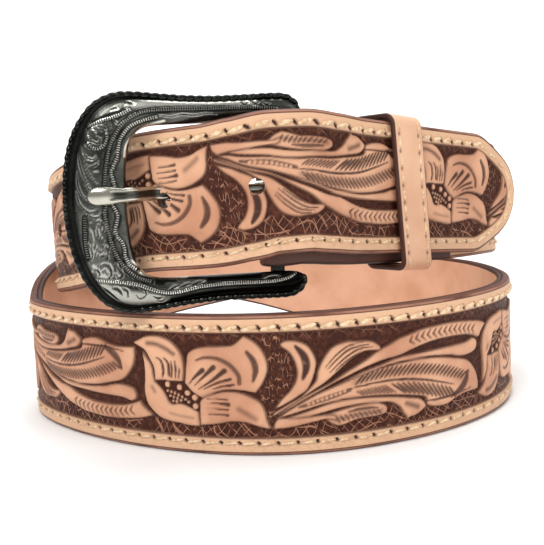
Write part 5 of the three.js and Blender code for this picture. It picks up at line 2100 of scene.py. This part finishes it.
@dataclass(frozen=True)
class Studio:
    """Pale floor, soft lights and the camera at the photograph's angle."""

    eye: tuple[float, float, float] = (-0.25, -284.75, 72.28)
    pitch: float = 6.443
    roll: float = 2.73
    focal: float = 800.0
    image: tuple[int, int] = (544, 545)
    sensor: float = 36.0

    def camera(self) -> None:
        """Places the camera."""
        data = bpy.data.cameras.new("camera")
        data.sensor_width = self.sensor
        data.lens = self.focal / max(self.image) * self.sensor
        data.clip_start, data.clip_end = 0.01, 10.0
        camera = put("camera", data)
        pitch, roll = math.radians(self.pitch), math.radians(self.roll)
        forward = Vector((0, math.cos(pitch), -math.sin(pitch)))
        level_up = Vector((0, math.sin(pitch), math.cos(pitch)))
        right = Vector((1, 0, 0)) * math.cos(roll) - level_up * math.sin(roll)
        up = right.cross(forward)
        matrix = camera.matrix_world.copy()
        for k, axis in enumerate((right, up, -forward)):
            for row in range(3):
                matrix[row][k] = axis[row]
        matrix.translation = Vector(self.eye) * MM
        camera.matrix_world = matrix
        bpy.context.scene.camera = camera

    def floor(self) -> None:
        """Lays the pale floor that curves up behind the belt."""
        half, depth, rise, bend = 3.0, 2.6, 2.4, 1.2
        profile = [(-half, 0.0)]
        for angle in np.linspace(0, math.pi / 2, 13):
            profile.append((depth - bend + bend * math.sin(angle), bend * (1 - math.cos(angle))))
        profile.append((depth, rise))
        points = [(x, y, z) for y, z in profile for x in (-half, half)]
        faces = [(2 * k, 2 * k + 1, 2 * k + 3, 2 * k + 2) for k in range(len(profile) - 1)]
        web = Shader("studio_floor")
        web.set(Base_Color=(0.96, 0.96, 0.96), Roughness=0.6, Specular_IOR_Level=0.2)
        make_object("floor", np.array(points) / MM, faces, web.material)

    def lights(self) -> None:
        """Hangs the soft lights and the pale surroundings."""
        world = bpy.data.worlds.new("surroundings")
        world.use_nodes = True
        surroundings = world.node_tree.nodes["Background"].inputs
        surroundings["Color"].default_value = (1, 1, 1, 1)
        surroundings["Strength"].default_value = 0.36
        bpy.context.scene.world = world
        belt, wall = (0, -0.02, 0.04), (0, 2.6, 0.5)
        for name, spot, power, size, aimed_at in (
            ("key", (-0.45, -0.75, 0.85), 8.5, 0.5, belt),
            ("fill", (0.8, -0.6, 0.45), 3.2, 0.7, belt),
            ("top", (0.1, 0.3, 1.1), 11, 0.8, belt),
            ("backdrop", (0.0, 0.75, 0.75), 34, 1.2, wall),
        ):
            data = bpy.data.lights.new(name, "AREA")
            data.energy, data.size = power, size
            lamp = put(name, data)
            lamp.location = spot
            lamp.rotation_euler = (Vector(aimed_at) - Vector(spot)).to_track_quat("-Z", "Y").to_euler()

    def build(self) -> None:
        """Sets the whole studio up."""
        self.camera()
        self.floor()
        self.lights()
        bpy.context.scene.view_settings.view_transform = "Standard"


def dress_snaps(nodes: dict[str, Object], material: Material) -> None:
    """Gives the frame's own snaps their metal."""
    for name in ("snap_near", "snap_far"):
        mesh = nodes[name].data
        mesh.materials.clear()
        mesh.materials.append(material)
        LOG.info("%s: dressed", name)


def main() -> None:
    """Builds the belt's looks round the frame, piece by piece."""
    logging.basicConfig(level=logging.INFO, format="%(name)s: %(message)s")
    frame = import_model()
    Studio().build()
    path = BeltPath()
    thread = Thread().material()
    # Edge colours are burnished leather darkened further as painted shade.
    lining, dark, keeper = (
        PlainLeather(name, srgb(*body), srgb(*deep), srgb(*edge), reach).material()
        for name, body, deep, edge, reach in (
            ("lining_leather", (226, 180, 150), (208, 158, 126), (70, 40, 30), 1.0),
            ("fold_leather", (92, 56, 43), (72, 43, 33), (50, 28, 21), 1.0),
            ("keeper_leather", (226, 180, 147), (212, 163, 130), (66, 38, 28), 0.7),
        )
    )
    engraved, blackened, polished = (AntiqueSilver(f"{wear.value}_silver", wear).material() for wear in Wear)
    TooledStrap(path).build(TooledLeather().material(), lining, dark, thread)
    KeeperLoop(path).build(keeper, thread)
    HorseshoeBuckle(path).build(engraved, blackened, polished)
    dress_snaps(frame["nodes"], polished)


if __name__ == "__main__":
    main()
